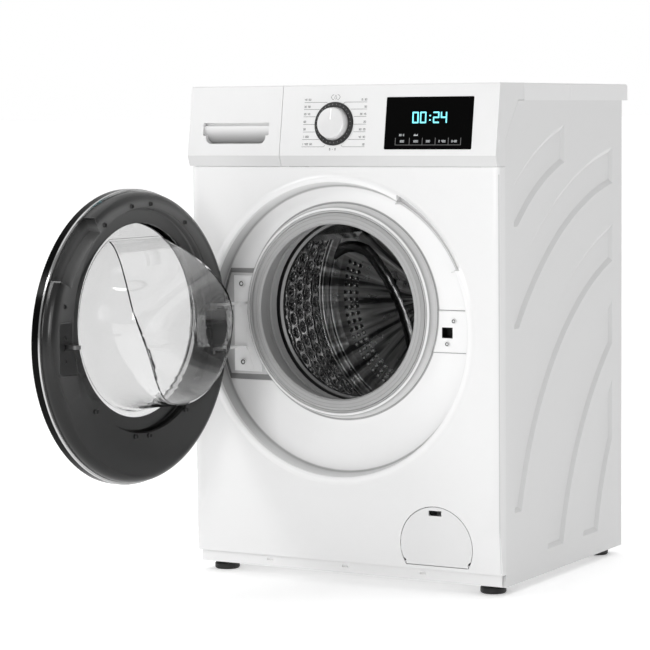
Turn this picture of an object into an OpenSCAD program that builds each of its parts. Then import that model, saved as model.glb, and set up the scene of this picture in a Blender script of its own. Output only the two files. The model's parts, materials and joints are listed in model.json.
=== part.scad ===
// Front load washing machine, door standing open.
// Millimetres, +Z up, front towards -Y, floor at Z = 0.

/* [Cabinet] */
// Width over the side panels
cab_w = 595; // [580:1:620]
// Height from the floor to the worktop
cab_h = 850; // [840:1:900]
// Depth from the front plate to the back edge of the side panels
cab_d = 506; // [500:1:560]
// Thickness of the pressed sheet
sheet = 1; // [0.8:0.1:1.4]
// Height of the side panels' lower edge above the floor
skirt_z = 14; // [10:1:20]
// Width of the folded edges of the side panels
fold_w = 12; // [8:1:16]
// Depth of the stiffening beads pressed into the side panels
bead_d = 5; // [3:0.5:6]
// Width of the stiffening beads
bead_w = 63; // [50:1:70]

/* [Worktop] */
// Thickness of the worktop
top_h = 29; // [24:1:34]
// How far the worktop stands out behind the side panels
top_overhang = 26; // [10:1:30]
// Width of the shadow joint between covers
joint_gap = 0.6; // [0.4:0.1:1.2]

/* [Front plate] */
// Height of the control panel, from the front plate's upper edge to the worktop
panel_h = 138; // [136:1:142]
// Height of the front plate's lower edge
plate_bottom = 36; // [30:1:38]
// Depth of the folded sides of the front plate
return_d = 23; // [18:1:24]
// Width of the softly rounded stretch at each side
soft_w = 27; // [20:1:30]
// How far the lower stretch leans back
kick_d = 9; // [4:1:12]
// Height of the stretch that leans back
kick_h = 115; // [112:1:125]

/* [Door opening] */
// Sideways place of the door's centre
door_x = -12; // [-16:1:-6]
// Height of the door's centre
door_z = 435; // [430:1:440]
// Radius of the recess at its mouth
recess_r = 251; // [250:0.5:254]
// Depth of the recess
recess_d = 24; // [22:1:26]
// How much narrower the recess is at its floor
recess_draft = 6; // [4:0.5:8]
// Width of the flared rim round the recess
flare_w = 16; // [12:1:18]
// Height of the flared rim
flare_h = 3; // [2:0.5:4]
// Height of the loading opening's centre above the door's
port_rise = 30.5; // [28:0.5:32]
// Radius of the collar at its foot
collar_r = 182.5; // [181:0.5:184]
// Radius of the opening inside the collar
collar_in = 169; // [167:0.5:171]
// How far the collar stands out of the recess floor
collar_h = 19; // [17:0.5:20]
// Radius of the gasket's lip
lip_r = 149.5; // [146:0.5:151]
// Wall of the gasket
gasket_t = 2.6; // [2:0.2:3]
// Depth of the hinge pocket in the recess floor
hinge_pocket_d = 8; // [6:1:9]
// Height of the lock's pad above the recess floor
lock_pad_h = 2; // [1:0.5:3]

/* [Door] */
// How far the door stands open
door_open = 94; // [80:1:110]
// Sideways place of the hinge axis
hinge_x = -245; // [-246:0.5:-243]
// How far the hinge axis stands in front of the plate
hinge_out = 20.4; // [19:0.2:22]
// Radius of the outer ring
ring_r = 245.6; // [244:0.2:246]
// Radius of the inner frame
frame_r = 241.6; // [240:0.2:242]
// Height of the frame's face above the hinge axis
frame_face = 34; // [32:0.5:35]
// Radius of the channel round the bowl
channel_r = 188; // [186:0.5:189]
// Depth of the channel
channel_d = 13; // [12:0.5:14]
// Radius of the clear window seen inside the channel
bowl_r = 160; // [156:0.5:162]
// How far the bowl stands out of the channel
bowl_h = 109; // [90:1:112]
// Radius of the bowl's blunt end
bowl_end_r = 119; // [100:1:122]
// Thickness of the bowl
glass_t = 4; // [3:0.5:5]
// Radius of the curve over the bowl's end
bowl_curve = 210; // [195:5:240]
// How far the bowl's deepest point lies below its centre
bowl_drop = 50; // [40:1:60]
// Radius of the clear outer cover
window_r = 205; // [200:1:210]
// Radius of the hinge pin
pin_r = 3; // [2.5:0.1:3.5]

/* [Control panel] */
// Sideways place of the joint between drawer and panel
split_x = -112; // [-116:1:-108]
// Wall of the moulded panel
panel_wall = 2.5; // [2:0.1:3]
// How far the panel's lower edge stands out
panel_out = 12; // [10:1:14]
// How far the panel's top leans back
panel_back = 6; // [4:1:8]
// Depth of the panel's top
panel_top_d = 96; // [90:1:104]
// Sideways place of the selector
knob_x = -8.5; // [-14:0.5:-2]
// Height of the selector above the front plate's upper edge
knob_rise = 72.4; // [68:0.2:78]
// Radius of the selector cap
knob_r = 27.5; // [24:0.5:29]
// Height of the selector cap
knob_h = 14; // [12:0.5:22]
// Radius of the ring round the selector
dial_r = 37; // [35:0.5:40]
// Width of the display window
display_w = 162; // [150:1:166]
// Height of the display window
display_h = 87.5; // [80:0.5:90]
// Sideways place of the display's middle
display_x = 171; // [166:1:175]
// Height of the display's middle above the front plate's upper edge
display_rise = 72.7; // [68:0.1:76]

/* [Detergent drawer] */
// Length of the tray
tray_l = 226; // [200:1:232]
// Height of the tray
tray_h = 64; // [56:1:66]
// Height of the tray's floor above the front plate's upper edge
tray_rise = 33; // [30:1:38]
// Wall of the tray and of its housing
tray_wall = 2; // [1.6:0.1:2.4]
// Gap between the tray and its housing
tray_gap = 1.5; // [1:0.1:2]

/* [Drum and tub] */
// Room between the drum and the tub's wall
drum_room = 17; // [15:0.5:20]
// Sheet thickness of the drum
drum_t = 1.2; // [0.8:0.1:1.6]
// Front edge of the drum
drum_front_y = 82; // [80:1:84]
// Room behind the drum for its spider, bearings and pulley
rear_room = 124; // [122:1:134]
// Radius of the drum's mouth
mouth_r = 152; // [150:0.5:154]
// Outer radius of the tub
tub_r = 262; // [260:0.5:264]
// Wall of the tub
tub_t = 5; // [4:0.5:6]
// Front face of the tub
tub_front_y = 70; // [69:0.5:71]
// Radius of the drum shaft
shaft_r = 15; // [12.5:0.5:17.5]
// Radius of the big pulley
pulley_r = 140; // [120:1:150]
// Radius of the motor pulley
pinion_r = 11; // [9:0.5:13]
// Vertical travel of the tub each way
bounce = 8; // [5:1:8]

/* [Service parts] */
// Radius of the filter flap
flap_r = 67; // [64:0.5:68]
// Sideways place of the filter flap
flap_x = 176; // [172:1:180]
// Height of the filter flap's centre
flap_z = 77; // [75:0.5:78]
// Radius of the filter cap
cap_r = 30; // [26:1:32]
// Radius of a levelling foot's pad
foot_r = 22; // [18:1:24]
// Sideways place of the feet
foot_x = 262; // [250:1:268]
// Radius of the water inlet's thread
inlet_r = 13.2; // [13:0.1:13.3]
// Radius of the drain outlet
drain_r = 10.5; // [9:0.5:12]

/* [Hidden] */
$fn = 96;
fit = 0.3;
seat = 0.05;
eps = 0.01;
half_w = cab_w / 2;
top_z = cab_h - top_h;
plate_top = cab_h - panel_h;
knob_z = plate_top + knob_rise;
display_z = plate_top + display_rise;
port_z = door_z + port_rise;
bowl_z = port_z - 2;
hinge_y = -hinge_out;
hinge_arm = door_x - hinge_x;
plate_h = plate_top - plate_bottom;
drum_back_y = cab_d - rear_room;
drum_r = tub_r - tub_t - drum_room;
tub_back_y = drum_back_y + 22;
ring_back = 8;
front_reach = hinge_y - (hinge_arm + ring_r) * sin(door_open) + ring_back * cos(door_open);
back_reach = cab_d + top_overhang;
row_y = (front_reach + back_reach) / 2;

white = "#f1f2f3";
shade = "#e2e4e6";
dark = "#26272a";
steel = "#b9bdc2";

// ---------- helpers ----------

function unit(v) = v / norm(v);
function normal_at(p, i) =
    let (a = p[max(i - 1, 0)], b = p[min(i + 1, len(p) - 1)], d = unit(b - a)) [-d[1], d[0]];
function arc(cx, cy, r, a0, a1, n = 6) =
    [for (i = [0:n]) let (a = a0 + (a1 - a0) * i / n) [cx + r * cos(a), cy + r * sin(a)]];

// A strip of even thickness along a path
module ribbon(path, w) {
    last = len(path) - 1;
    polygon([
        for (i = [0:last]) path[i] + normal_at(path, i) * w / 2,
        for (i = [last:-1:0]) path[i] - normal_at(path, i) * w / 2
    ]);
}

// From the cabinet's own axes to the model's origin, below the middle of the whole
module in_row() translate([0, -row_y, 0]) children();

// Profiles of radius and depth, turned about an axis along Y
module turned(x, z, from = 0, sweep = 360)
    translate([x, 0, z]) rotate([-90, 0, 0])
        rotate_extrude(angle = sweep, start = from, $fn = 120) children();

module rod_y(x, z, y0, y1, r) translate([x, y0, z]) rotate([-90, 0, 0]) cylinder(r = r, h = y1 - y0);
module rod_z(x, y, z0, z1, r) translate([x, y, z0]) cylinder(r = r, h = z1 - z0);
module rod_x(y, z, x0, x1, r) translate([x0, y, z]) rotate([0, 90, 0]) cylinder(r = r, h = x1 - x0);
module block(x, y, z) translate([x[0], y[0], z[0]]) cube([x[1] - x[0], y[1] - y[0], z[1] - z[0]]);

// Outlines of depth and height, drawn out along X
module along_x(x0, x1) translate([x0, 0, 0]) rotate([90, 0, 90]) linear_extrude(x1 - x0) children();
// Outlines of width and height, drawn out along Y
module along_y(y0, y1) translate([0, y1, 0]) rotate([90, 0, 0]) linear_extrude(y1 - y0) children();

module rounded(w, h, r) {
    square([w - 2 * r, h], center = true);
    square([w, h - 2 * r], center = true);
    for (x = [-1, 1], y = [-1, 1]) translate([x * (w / 2 - r), y * (h / 2 - r)]) circle(r, $fn = 32);
}

// The door turned from shut to open, about the hinge axis.
// Inside: origin on the hinge axis, +X across the door, +Y into the cabinet.
module on_door() in_row() translate([hinge_x, hinge_y, 0]) rotate([0, 0, -door_open]) children();

// ---------- side panels ----------

// Beads: centre depth, centre height, outer radius, front end, rear end, lower end
rear_end = cab_d - 41;
front_end = return_d + 33;
beads = [
    [378, 274, 520, front_end, 258, 612],
    [577, 40, 707, front_end, rear_end, 442],
    [642, -15, 641, front_end, rear_end, 134],
    [845, -93, 675, front_end, rear_end, 54],
    [889, -48, 563, front_end, rear_end, 54]
];

// One bead: a ring of sloped section with sloped ends, grown by g for the sheet behind it
module bead(b, g) {
    slope = 8;
    deep = bead_d + g;
    translate([half_w, 0, 0]) intersection() {
        translate([0, b[0], b[1]]) rotate([0, 90, 0]) rotate_extrude($fn = 180) polygon([
            [b[2] - bead_w - g - slope / bead_d, 1], [b[2] + g + slope / bead_d, 1],
            [b[2] + g - slope, -deep], [b[2] - bead_w - g + slope, -deep]
        ]);
        linear_extrude(2 * cab_h, center = true) polygon([
            [1, b[3] - g - 1], [1, b[4] + g + 1], [-deep, b[4] + g - slope], [-deep, b[3] - g + slope]
        ]);
        translate([0, cab_d + 1, 0]) rotate([90, 0, 0]) linear_extrude(cab_d + 2) polygon([
            [1, b[5] - g - 1], [1, cab_h], [-deep, cab_h], [-deep, b[5] - g + slope]
        ]);
    }
}

corner_cut = 50;
module side_outline(g) polygon([
    [return_d + g, skirt_z + g], [cab_d - g, skirt_z + g], [cab_d - g, top_z - g],
    [return_d + corner_cut + g / 2, top_z - g], [return_d + g, top_z - 67 - g / 2]
]);

module side_panel_shape() difference() {
    union() {
        difference() {
            along_x(half_w - fold_w, half_w) side_outline(0);
            along_x(half_w - fold_w - 1, half_w - sheet) side_outline(sheet);
        }
        intersection() {
            for (b = beads) bead(b, sheet);
            along_x(half_w - bead_d - 2 * sheet, half_w) side_outline(sheet);
        }
    }
    for (b = beads) bead(b, 0);
}
module side_panel_right() color(white) in_row() side_panel_shape();
module side_panel_left() color(white) in_row() mirror([1, 0, 0]) side_panel_shape();

// ---------- front plate ----------

// Section across the plate, a quarter of an ellipse-like soft corner at each side
function soft_edge(s, g) = [
    for (i = [0:6]) let (a = 15 * i, x = half_w - g - soft_w * (1 - sin(a)) , y = g + 7 * (1 - cos(a)) * sin(a) ^ 2)
        [s * x, y]
];
module plate_section(g, depth) polygon(concat(
    [[-(half_w - g), depth]], [for (i = [6:-1:0]) soft_edge(-1, g)[i]],
    soft_edge(1, g), [[half_w - g, depth]]
));
module plate_side(g) polygon([
    [g, plate_top + 2], [g, plate_bottom + kick_h], [g + kick_d, plate_bottom - g], [g + kick_d, plate_bottom - 2],
    [60, plate_bottom - 2], [60, plate_top + 2]
]);
module plate_form(g) intersection() {
    translate([0, 0, plate_bottom]) linear_extrude(plate_h) plate_section(g, return_d + (g > 0 ? 1 : 0));
    along_x(-half_w - 1, half_w + 1) plate_side(g);
}

// Pressed pan round the door: flared rim, drafted wall and flat floor
floor_y = recess_d;
floor_mid = floor_y + sheet / 2;
pan_outer = recess_r + flare_w;
pan_path = [
    [pan_outer + 3, sheet / 2], [pan_outer, sheet / 2], [pan_outer - 5, -flare_h * 0.35],
    [pan_outer - 9, -flare_h + sheet / 2], [recess_r + 3, -flare_h + 1], [recess_r + 0.6, -flare_h / 2],
    [recess_r + 0.3, 2], [recess_r - recess_draft + 1, floor_y - 3], [recess_r - recess_draft - 1, floor_y],
    [recess_r - recess_draft - 4, floor_mid], [collar_r - port_rise - 20, floor_mid]
];
collar_top = floor_y - collar_h;
collar_path = [
    [collar_r + 8, floor_mid], [collar_r + 2, floor_mid], [collar_r - 0.5, floor_y - 2],
    [collar_r - 2.5, floor_y - 12], [collar_r - 5, collar_top + 2], [collar_r - 8, collar_top + 0.6],
    [collar_in + 1, collar_top + 1.5], [collar_in + sheet / 2, collar_top + 4], [collar_in + sheet / 2, floor_y - 6]
];

// Sloped pocket in the recess floor, grown by g
module floor_pocket(x, z, deep, g) intersection() {
    slope = deep * 1.2;
    along_x(x[0] - g, x[1] + g) polygon([
        [floor_y - 1, z[0] - g], [floor_y - 1, z[1] + g], [floor_y, z[1] + g],
        [floor_y + deep + g, z[1] - slope + g], [floor_y + deep + g, z[0] + slope - g], [floor_y, z[0] - g]
    ]);
    difference() {
        rod_y(door_x, door_z, floor_y - 2, floor_y + deep + g + 1, recess_r - recess_draft - 2 + g);
        rod_y(door_x, port_z, floor_y - 3, floor_y + deep + g + 2, collar_r + 4 - g);
    }
}
hinge_pocket_x = [-270, -150];
hinge_pocket_z = [port_z - 125, port_z + 70];
lock_x = door_x + collar_r + 19.9;
lock_z = door_z + 0.5;
lock_pad_x = [lock_x - 40, lock_x + 70];
lock_pad_z = [lock_z - 34, lock_z + 38];
lock_screws = [[lock_x + 13, lock_z + 20], [lock_x + 0.6, lock_z - 18.7]];
hinge_screws = [[hinge_x + 31, port_z + 42], [hinge_x + 33, port_z - 95]];
hinge_floor = floor_y + hinge_pocket_d;
lock_floor = floor_y - lock_pad_h;

// Raised pad for the lock, between collar and recess wall, drawn in by g for the hollow behind it
module floor_pad(g) intersection() {
    slope = 1.2 * lock_pad_h;
    along_x(lock_pad_x[0], lock_pad_x[1]) polygon([
        [floor_y + sheet + g, lock_pad_z[0] + g], [floor_y + sheet + g, lock_pad_z[1] - g],
        [floor_y + g, lock_pad_z[1] - g], [lock_floor + g, lock_pad_z[1] - slope - g],
        [lock_floor + g, lock_pad_z[0] + slope + g], [floor_y + g, lock_pad_z[0] + g]
    ]);
    difference() {
        rod_y(door_x, door_z, lock_floor - 1, floor_y + 3, recess_r - recess_draft + 0.3 - g);
        rod_y(door_x, port_z, lock_floor - 2, floor_y + 4, collar_r - 0.3 + g);
    }
}

// Finger scoop in the flared rim, beside the door's grip
scoop_from = 25;
scoop_to = 61;
module scoop(g) turned(door_x, door_z, -scoop_to - g / 5, scoop_to - scoop_from + 2 * g / 5) polygon([
    [recess_r - 6, -flare_h - 3], [recess_r + 11 + g, -flare_h - 3], [recess_r + 10 + g, -flare_h + g],
    [recess_r - 2 + g, floor_y - 6 + g], [recess_r - 6, floor_y - 6 + g]
]);

flap_gap = 1.2;
flap_t = 2.5;
flap_axis = [3 - flap_r / 2, -flap_t - 1];
flap_pin = flap_r - 0.4;
module flap_outline(g) intersection() {
    circle(r = flap_r + g);
    translate([-flap_r - g, -flap_r / 2 - g]) square([2 * (flap_r + g), 2 * flap_r]);
}
// The flap's lower corners are trimmed to pass the plate's edge as it swings
module flap_shape() difference() {
    flap_outline(0);
    for (s = [-1, 1]) scale([s, 1]) polygon([
        [flap_r * 0.866, -flap_r], [flap_r * 0.866, 7 - flap_r / 2], [flap_r * 0.92, 10 - flap_r / 2],
        [flap_r + 9, 10 - flap_r / 2], [flap_r + 9, -flap_r]
    ]);
}
// The leaning stretch of the plate, with +Z outwards
lean = atan(kick_d / kick_h);
module on_lean(x, z)
    translate([x, kick_d * (plate_bottom + kick_h - z) / kick_h, z]) rotate([90 + lean, 0, 0]) children();

module front_plate() color(white) in_row() difference() {
    union() {
        difference() {
            plate_form(0);
            plate_form(sheet);
            rod_y(door_x, door_z, -10, 40, pan_outer);
        }
        difference() {
            turned(door_x, door_z) ribbon(pan_path, sheet);
            rod_y(door_x, port_z, 0, 60, collar_r + 1);
        }
        turned(door_x, port_z) ribbon(collar_path, sheet);
        floor_pocket(hinge_pocket_x, hinge_pocket_z, hinge_pocket_d, sheet);
        floor_pad(0);
        intersection() {
            scoop(sheet);
            turned(door_x, door_z) translate([recess_r - 5.5, -flare_h]) square([flare_w + 4, recess_d + flare_h - 1]);
        }
        for (s = [-1, 1]) on_lean(flap_x, flap_z)
            translate([s * (flap_r - 1.6) - 1.6, flap_axis[0] - 3.5, flap_axis[1] - 3.5]) cube([3.2, 7, 6.2]);
    }
    floor_pocket(hinge_pocket_x, hinge_pocket_z, hinge_pocket_d, 0);
    floor_pad(sheet);
    scoop(0);
    block([lock_x - 10, lock_x + 10], [0, 60], [lock_z - 9, lock_z + 9]);
    for (p = lock_screws) rod_y(p[0], p[1], 0, 60, 2.2);
    for (p = hinge_screws) rod_y(p[0], p[1], 0, 60, 3.2);
    on_lean(flap_x, flap_z) {
        translate([0, 0, -20]) linear_extrude(40) flap_outline(flap_gap);
        translate([-flap_r - 9, flap_axis[0], flap_axis[1]]) rotate([0, 90, 0])
            cylinder(r = 1.5 + seat, h = 2 * flap_r + 18, $fn = 32);
    }
}

// ---------- screws, lock and hinge bracket ----------

module pan_screw(p, y, head, shank, l) {
    turned(p[0], p[1]) polygon([
        [0, y - head * 0.55], [head * 0.6, y - head * 0.5], [head, y - head * 0.2], [head, y],
        [shank, y], [shank, y + l], [0, y + l]
    ]);
}
plate_t = 2.5;
module front_screws() color(steel) in_row() {
    for (p = lock_screws) pan_screw(p, lock_floor, 4.4, 2, 8);
    for (p = hinge_screws) pan_screw(p, hinge_floor - plate_t, 6, 3, 10);
}

module door_lock() color(dark) in_row() difference() {
    union() {
        block([lock_x - 17, lock_x + 34], [lock_floor + sheet, lock_floor + 30],
            [lock_pad_z[0] + 4, lock_pad_z[1] - 4]);
        block([lock_x - 14, lock_x + 22], [lock_floor + 30, lock_floor + 36], [lock_z - 26, lock_z + 26]);
    }
    block([lock_x - 14, lock_x + 14], [0, lock_floor + 26], [lock_z - 8, lock_z + 8]);
    for (p = lock_screws) rod_y(p[0], p[1], 0, lock_floor + 14, 2.3);
}

arm_t = 4;
arm_z = [port_z - 68, port_z + 8];
knuckle_r = 6.5;
pin_gap = 0.05;
module hinge_arm_shape() {
    run = hinge_floor - plate_t - hinge_y;
    polygon([
        [0, -knuckle_r], [knuckle_r + 2, -knuckle_r + 2], [24, 6], [29, run - 14], [40, run - 4], [40, run + 1],
        [18, run + 1], [18, run - 18], [9, 12], [-3, knuckle_r - 1]
    ]);
}
module hinge_bracket() color(white) in_row() difference() {
    union() {
        intersection() {
            difference() {
                block([hinge_x + 14, hinge_x + 70], [hinge_floor - plate_t, hinge_floor],
                    [hinge_pocket_z[0] + 14, hinge_pocket_z[1] - 14]);
                rod_y(door_x, port_z, 0, 60, collar_r + 8);
            }
            rod_y(door_x, door_z, 0, 60, recess_r - recess_draft - 4);
        }
        for (z = arm_z) translate([hinge_x, hinge_y, z - arm_t / 2]) {
            linear_extrude(arm_t) hinge_arm_shape();
            translate([0, 0, -2]) cylinder(r = knuckle_r, h = arm_t + 4, $fn = 48);
        }
    }
    for (z = arm_z) rod_z(hinge_x, hinge_y, z - 10, z + 10, pin_r + pin_gap);
    for (p = hinge_screws) rod_y(p[0], p[1], 0, 60, 3.2);
}

// ---------- gasket ----------

neck_r = lip_r + 13;
gasket_path = [
    [collar_in - fit - gasket_t / 2, floor_y - 8], [collar_in - fit - gasket_t / 2, collar_top + 1],
    [collar_in - 5, collar_top - 2], [lip_r + 3, collar_top - 2.4], [lip_r + 1.3, collar_top - 0.5],
    [lip_r + 2.5, collar_top + 14], [lip_r + 4, collar_top + 26], [lip_r + 9, collar_top + 33],
    [collar_in - 6, collar_top + 36], [collar_in - 2, collar_top + 41], [collar_in - 4, collar_top + 47],
    [neck_r + fit + gasket_t / 2, collar_top + 52], [neck_r + fit + gasket_t / 2, tub_front_y - 1]
];
module door_gasket() color("#b9bbbd") in_row() turned(door_x, port_z) ribbon(gasket_path, gasket_t);

// ---------- rear of the cabinet ----------

cover_r = 214;
transit = [[-140, 190], [140, 190], [-156, -176], [156, -176]];
inlet_x = -205;
inlet_z = top_z - 31;
drain_x = 238;
drain_z = 560;
gland_x = 200;
gland_z = 120;
back_in = cab_d - 2 * sheet;
module back_panel() color(shade) in_row() difference() {
    union() {
        block([-half_w + sheet + 0.5, half_w - sheet - 0.5], [back_in, back_in + sheet], [skirt_z + 2, top_z - 2]);
        for (s = [-1, 1]) block([s * 262 - 6, s * 262 + 6], [back_in - 3, back_in + sheet], [60, top_z - 60]);
    }
    for (s = [-1, 1]) block([s * 262 - 4.8, s * 262 + 4.8], [back_in - 2, back_in + 9], [61.2, top_z - 61.2]);
    rod_y(door_x, port_z, 0, cab_d + 9, cover_r - 14);
    for (t = transit) rod_y(door_x + t[0], port_z + t[1], 0, cab_d + 9, 11);
    rod_y(inlet_x, inlet_z, 0, cab_d + 9, inlet_r + 1);
    rod_y(drain_x, drain_z, 0, cab_d + 9, drain_r + 1);
    rod_y(gland_x, gland_z, 0, cab_d + 9, 9);
    for (i = [0:6]) block([30, 90], [0, cab_d + 9], [60 + 9 * i, 64 + 9 * i]);
}
module rear_cover() color(shade) in_row() difference() {
    turned(door_x, port_z) ribbon([
        [cover_r, back_in + 1.5 * sheet], [cover_r - 12, back_in + 1.5 * sheet], [cover_r - 17, back_in + 6],
        [130, back_in + 6], [122, back_in + 3], [60, back_in + 3], [52, back_in + 6], [0, back_in + 6]
    ], sheet);
    for (a = [30:60:330]) rod_y(door_x + (cover_r - 6) * cos(a), port_z + (cover_r - 6) * sin(a), 0, cab_d + 9, 2.5);
}
module transit_caps() color(dark) in_row() for (t = transit) turned(door_x + t[0], port_z + t[1])
    polygon([[0, back_in + sheet + 4], [10, back_in + sheet + 4], [14, back_in + sheet + 1.5], [14, back_in + sheet],
        [10.6, back_in + sheet], [10.2, back_in - 8], [8, back_in - 8], [8, back_in + 2], [0, back_in + 2]]);
module mains_gland() color(dark) in_row() turned(gland_x, gland_z)
    polygon([[4, back_in - 10], [8.6, back_in - 10], [8.6, back_in + sheet], [14, back_in + sheet],
        [14, back_in + sheet + 3], [10, back_in + sheet + 5], [7, back_in + sheet + 16], [4, back_in + sheet + 16]]);

// ---------- worktop ----------

seam_y = 282;
module worktop() color(white) in_row() difference() {
    union() {
        block([-half_w, half_w], [panel_top_d + joint_gap, back_reach], [top_z + 5, cab_h - 3]);
        block([-half_w + 3, half_w - 3], [panel_top_d + joint_gap, back_reach - 3], [cab_h - 3.01, cab_h]);
        for (s = [-1, 1]) rod_y(s * (half_w - 3), cab_h - 3, panel_top_d + joint_gap, back_reach - 3, 3);
        rod_x(back_reach - 3, cab_h - 3, -half_w + 3, half_w - 3, 3);
        for (s = [-1, 1]) translate([s * (half_w - 3), back_reach - 3, cab_h - 3]) sphere(3, $fn = 32);
        difference() {
            block([-half_w, half_w], [panel_top_d + joint_gap, back_reach], [top_z, top_z + 5.01]);
            block([-half_w + 18, half_w - 18], [panel_top_d - 9, back_reach - 16], [top_z - 1, top_z + 5]);
        }
    }
    for (s = [-1, 1])
        block([s * half_w - 0.8, s * half_w + 0.8], [seam_y, seam_y + joint_gap], [top_z - 1, cab_h - 4]);
}

// ---------- base and inner frame ----------

foot_y = [return_d + 24, cab_d - 34];
base_z = plate_bottom + 2;
module base_pan() color(shade) in_row() difference() {
    union() {
        block([-half_w + sheet + 0.6, half_w - sheet - 0.6], [return_d + 1.5, back_in - 0.5], [base_z - 4, base_z]);
        block([-half_w + 4, half_w - 4], [kick_d + 5, kick_d + 8], [skirt_z + 2, plate_bottom - joint_gap]);
        block([-half_w + fold_w + 1, half_w - fold_w - 1], [kick_d + 5, return_d + 3],
            [plate_bottom - 4, plate_bottom - joint_gap]);
        for (s = [-1, 1]) block([s * 276 - 3, s * 276 + 3], [return_d + 3, back_in - 3], [skirt_z + 4, base_z - 3]);
        for (x = [-foot_x, foot_x], y = foot_y) rod_z(x, y, skirt_z + 8, base_z + 6, 18);
        for (x = [-180:90:180]) block([x - 1.5, x + 1.5], [return_d + 3, back_in - 3], [base_z - 12, base_z - 3]);
        for (s = [-1, 1]) rod_z(door_x + s * damper_x, damper_y, base_z - 1, base_z + 4, 22);
    }
    for (x = [-foot_x, foot_x], y = foot_y) rod_z(x, y, 0, base_z + 9, 5.3);
    for (x = [-60, 36]) block([x - 38, x + 38], [150, 300], [0, base_z + 1]);
    for (i = [0:2]) block([-160 + 150 * i, -148 + 150 * i], [0, kick_d + 12], [skirt_z + 12, skirt_z + 16]);
}
module levelling_feet() color(dark) in_row() for (x = [-foot_x, foot_x], y = foot_y) translate([x, y, 0]) {
    rotate_extrude() polygon([
        [0, 0], [foot_r - 2, 0], [foot_r, 2], [foot_r, 9], [foot_r - 3, 13], [10, 15],
        [10, 16], [5, 16], [5, base_z + 18], [0, base_z + 18]
    ]);
    translate([0, 0, 16 - eps]) cylinder(r = 9.8, h = skirt_z - 8 + eps, $fn = 6);
}
rail_y = [330, cab_d - 80];
rail_z = top_z - 17;
module top_rails() color(steel) in_row() for (y = rail_y) difference() {
    block([-half_w + sheet, half_w - sheet], [y - 9, y + 9], [rail_z, top_z - sheet - 0.2]);
    block([-half_w - 1, half_w + 1], [y - 7.5, y + 10], [rail_z + 1.5, top_z - sheet - 1.7]);
}

// ---------- control panel ----------

fascia_low = plate_top + 19;
face_tilt = atan((panel_out + panel_back) / (cab_h - fascia_low));
function face_y(z) = z > fascia_low
    ? -panel_out + (z - fascia_low) * (panel_out + panel_back) / (cab_h - fascia_low)
    : -panel_out + (fascia_low - z) * 7 / 19;
module panel_profile() polygon([
    [panel_back + 1.5, cab_h], [panel_top_d, cab_h], [panel_top_d, top_z + joint_gap], [return_d + corner_cut, top_z + joint_gap],
    [return_d, top_z - 67 + joint_gap], [return_d, plate_top + joint_gap], [face_y(plate_top), plate_top + joint_gap],
    [-panel_out, fascia_low], [face_y(cab_h) - 0.3, cab_h - 2]
]);
module panel_inside(w) polygon([
    [panel_back + 1.5 + w, cab_h - w], [panel_top_d + 9, cab_h - w], [panel_top_d + 9, plate_top + joint_gap + w],
    [face_y(plate_top) + w, plate_top + joint_gap + w], [w - panel_out, fascia_low], [face_y(cab_h) + w, cab_h - w - 2]
]);
// On the sloped face: +X across, +Y up the face, +Z outwards
module on_face(x, z) translate([x, face_y(z), z]) rotate([90 - face_tilt, 0, 0]) children();

drawer_back = 14;
tray_x = [split_x - 169, split_x - 12];
tray_z = [plate_top + tray_rise, plate_top + tray_rise + tray_h];
board_y = 40;
module control_panel() color(white) in_row() difference() {
    union() {
        difference() {
            along_x(-half_w, half_w) panel_profile();
            along_x(-half_w + panel_wall, half_w - panel_wall) panel_inside(panel_wall);
            block([-half_w - 1, split_x], [-50, drawer_back], [plate_top - 9, cab_h + 9]);
        }
        difference() {
            block([-half_w + 1, split_x + 1], [drawer_back + joint_gap, drawer_back + joint_gap + panel_wall],
                [plate_top + joint_gap, cab_h - 1]);
            block([tray_x[0] - tray_gap, tray_x[1] + tray_gap], [0, 60], [tray_z[0] - tray_gap, tray_z[1] + tray_gap]);
        }
        block([split_x, split_x + panel_wall], [face_y(fascia_low) + 8, drawer_back + 8], [plate_top + 2, cab_h - 2]);
        for (x = [-60, 60, 250]) block([x - 4, x + 4], [face_y(plate_top) + 3, board_y], [plate_top + 1, plate_top + 16]);
    }
    block([-half_w - 1, split_x + 0.3], [-50, drawer_back + joint_gap], [plate_top - 9, cab_h + 9]);
    on_face(display_x, display_z) translate([0, 0, -1.8]) linear_extrude(9) rounded(display_w + 0.6, display_h + 0.6, 2);
    on_face(display_x, display_z) translate([0, 0, -9]) linear_extrude(12) rounded(display_w - 12, display_h - 12, 2);
    on_face(knob_x, knob_z) translate([0, 0, -9]) cylinder(r = 6, h = 20);
}
module display_window() color("#0b0c0e") in_row() on_face(display_x, display_z) {
    translate([0, 0, -1.8]) linear_extrude(2.1) rounded(display_w, display_h, 2);
    translate([0, 0, -4]) linear_extrude(2.3) rounded(display_w - 13, display_h - 13, 2);
}
module selector_ring() color(dark) in_row() on_face(knob_x, knob_z) rotate_extrude() polygon([
    [knob_r + 1, 0], [dial_r, 0], [dial_r, 1.6], [dial_r - 1, 2.4], [knob_r + 2.2, 3.2], [knob_r + 1, 3]
]);
module selector_knob() color("#d7dadd") in_row() on_face(knob_x, knob_z) difference() {
    rotate_extrude() polygon([
        [0, -32], [3, -32], [3, 3], [knob_r - 3, 3], [knob_r - 3, 0.6], [knob_r, 0.6], [knob_r, 4],
        [knob_r - 1.5, knob_h - 2], [knob_r - 2.6, knob_h - 0.6], [knob_r - 4.5, knob_h], [0, knob_h]
    ]);
    translate([-1, knob_r - 15, knob_h - 0.8]) cube([2, 12, 2]);
}
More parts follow.
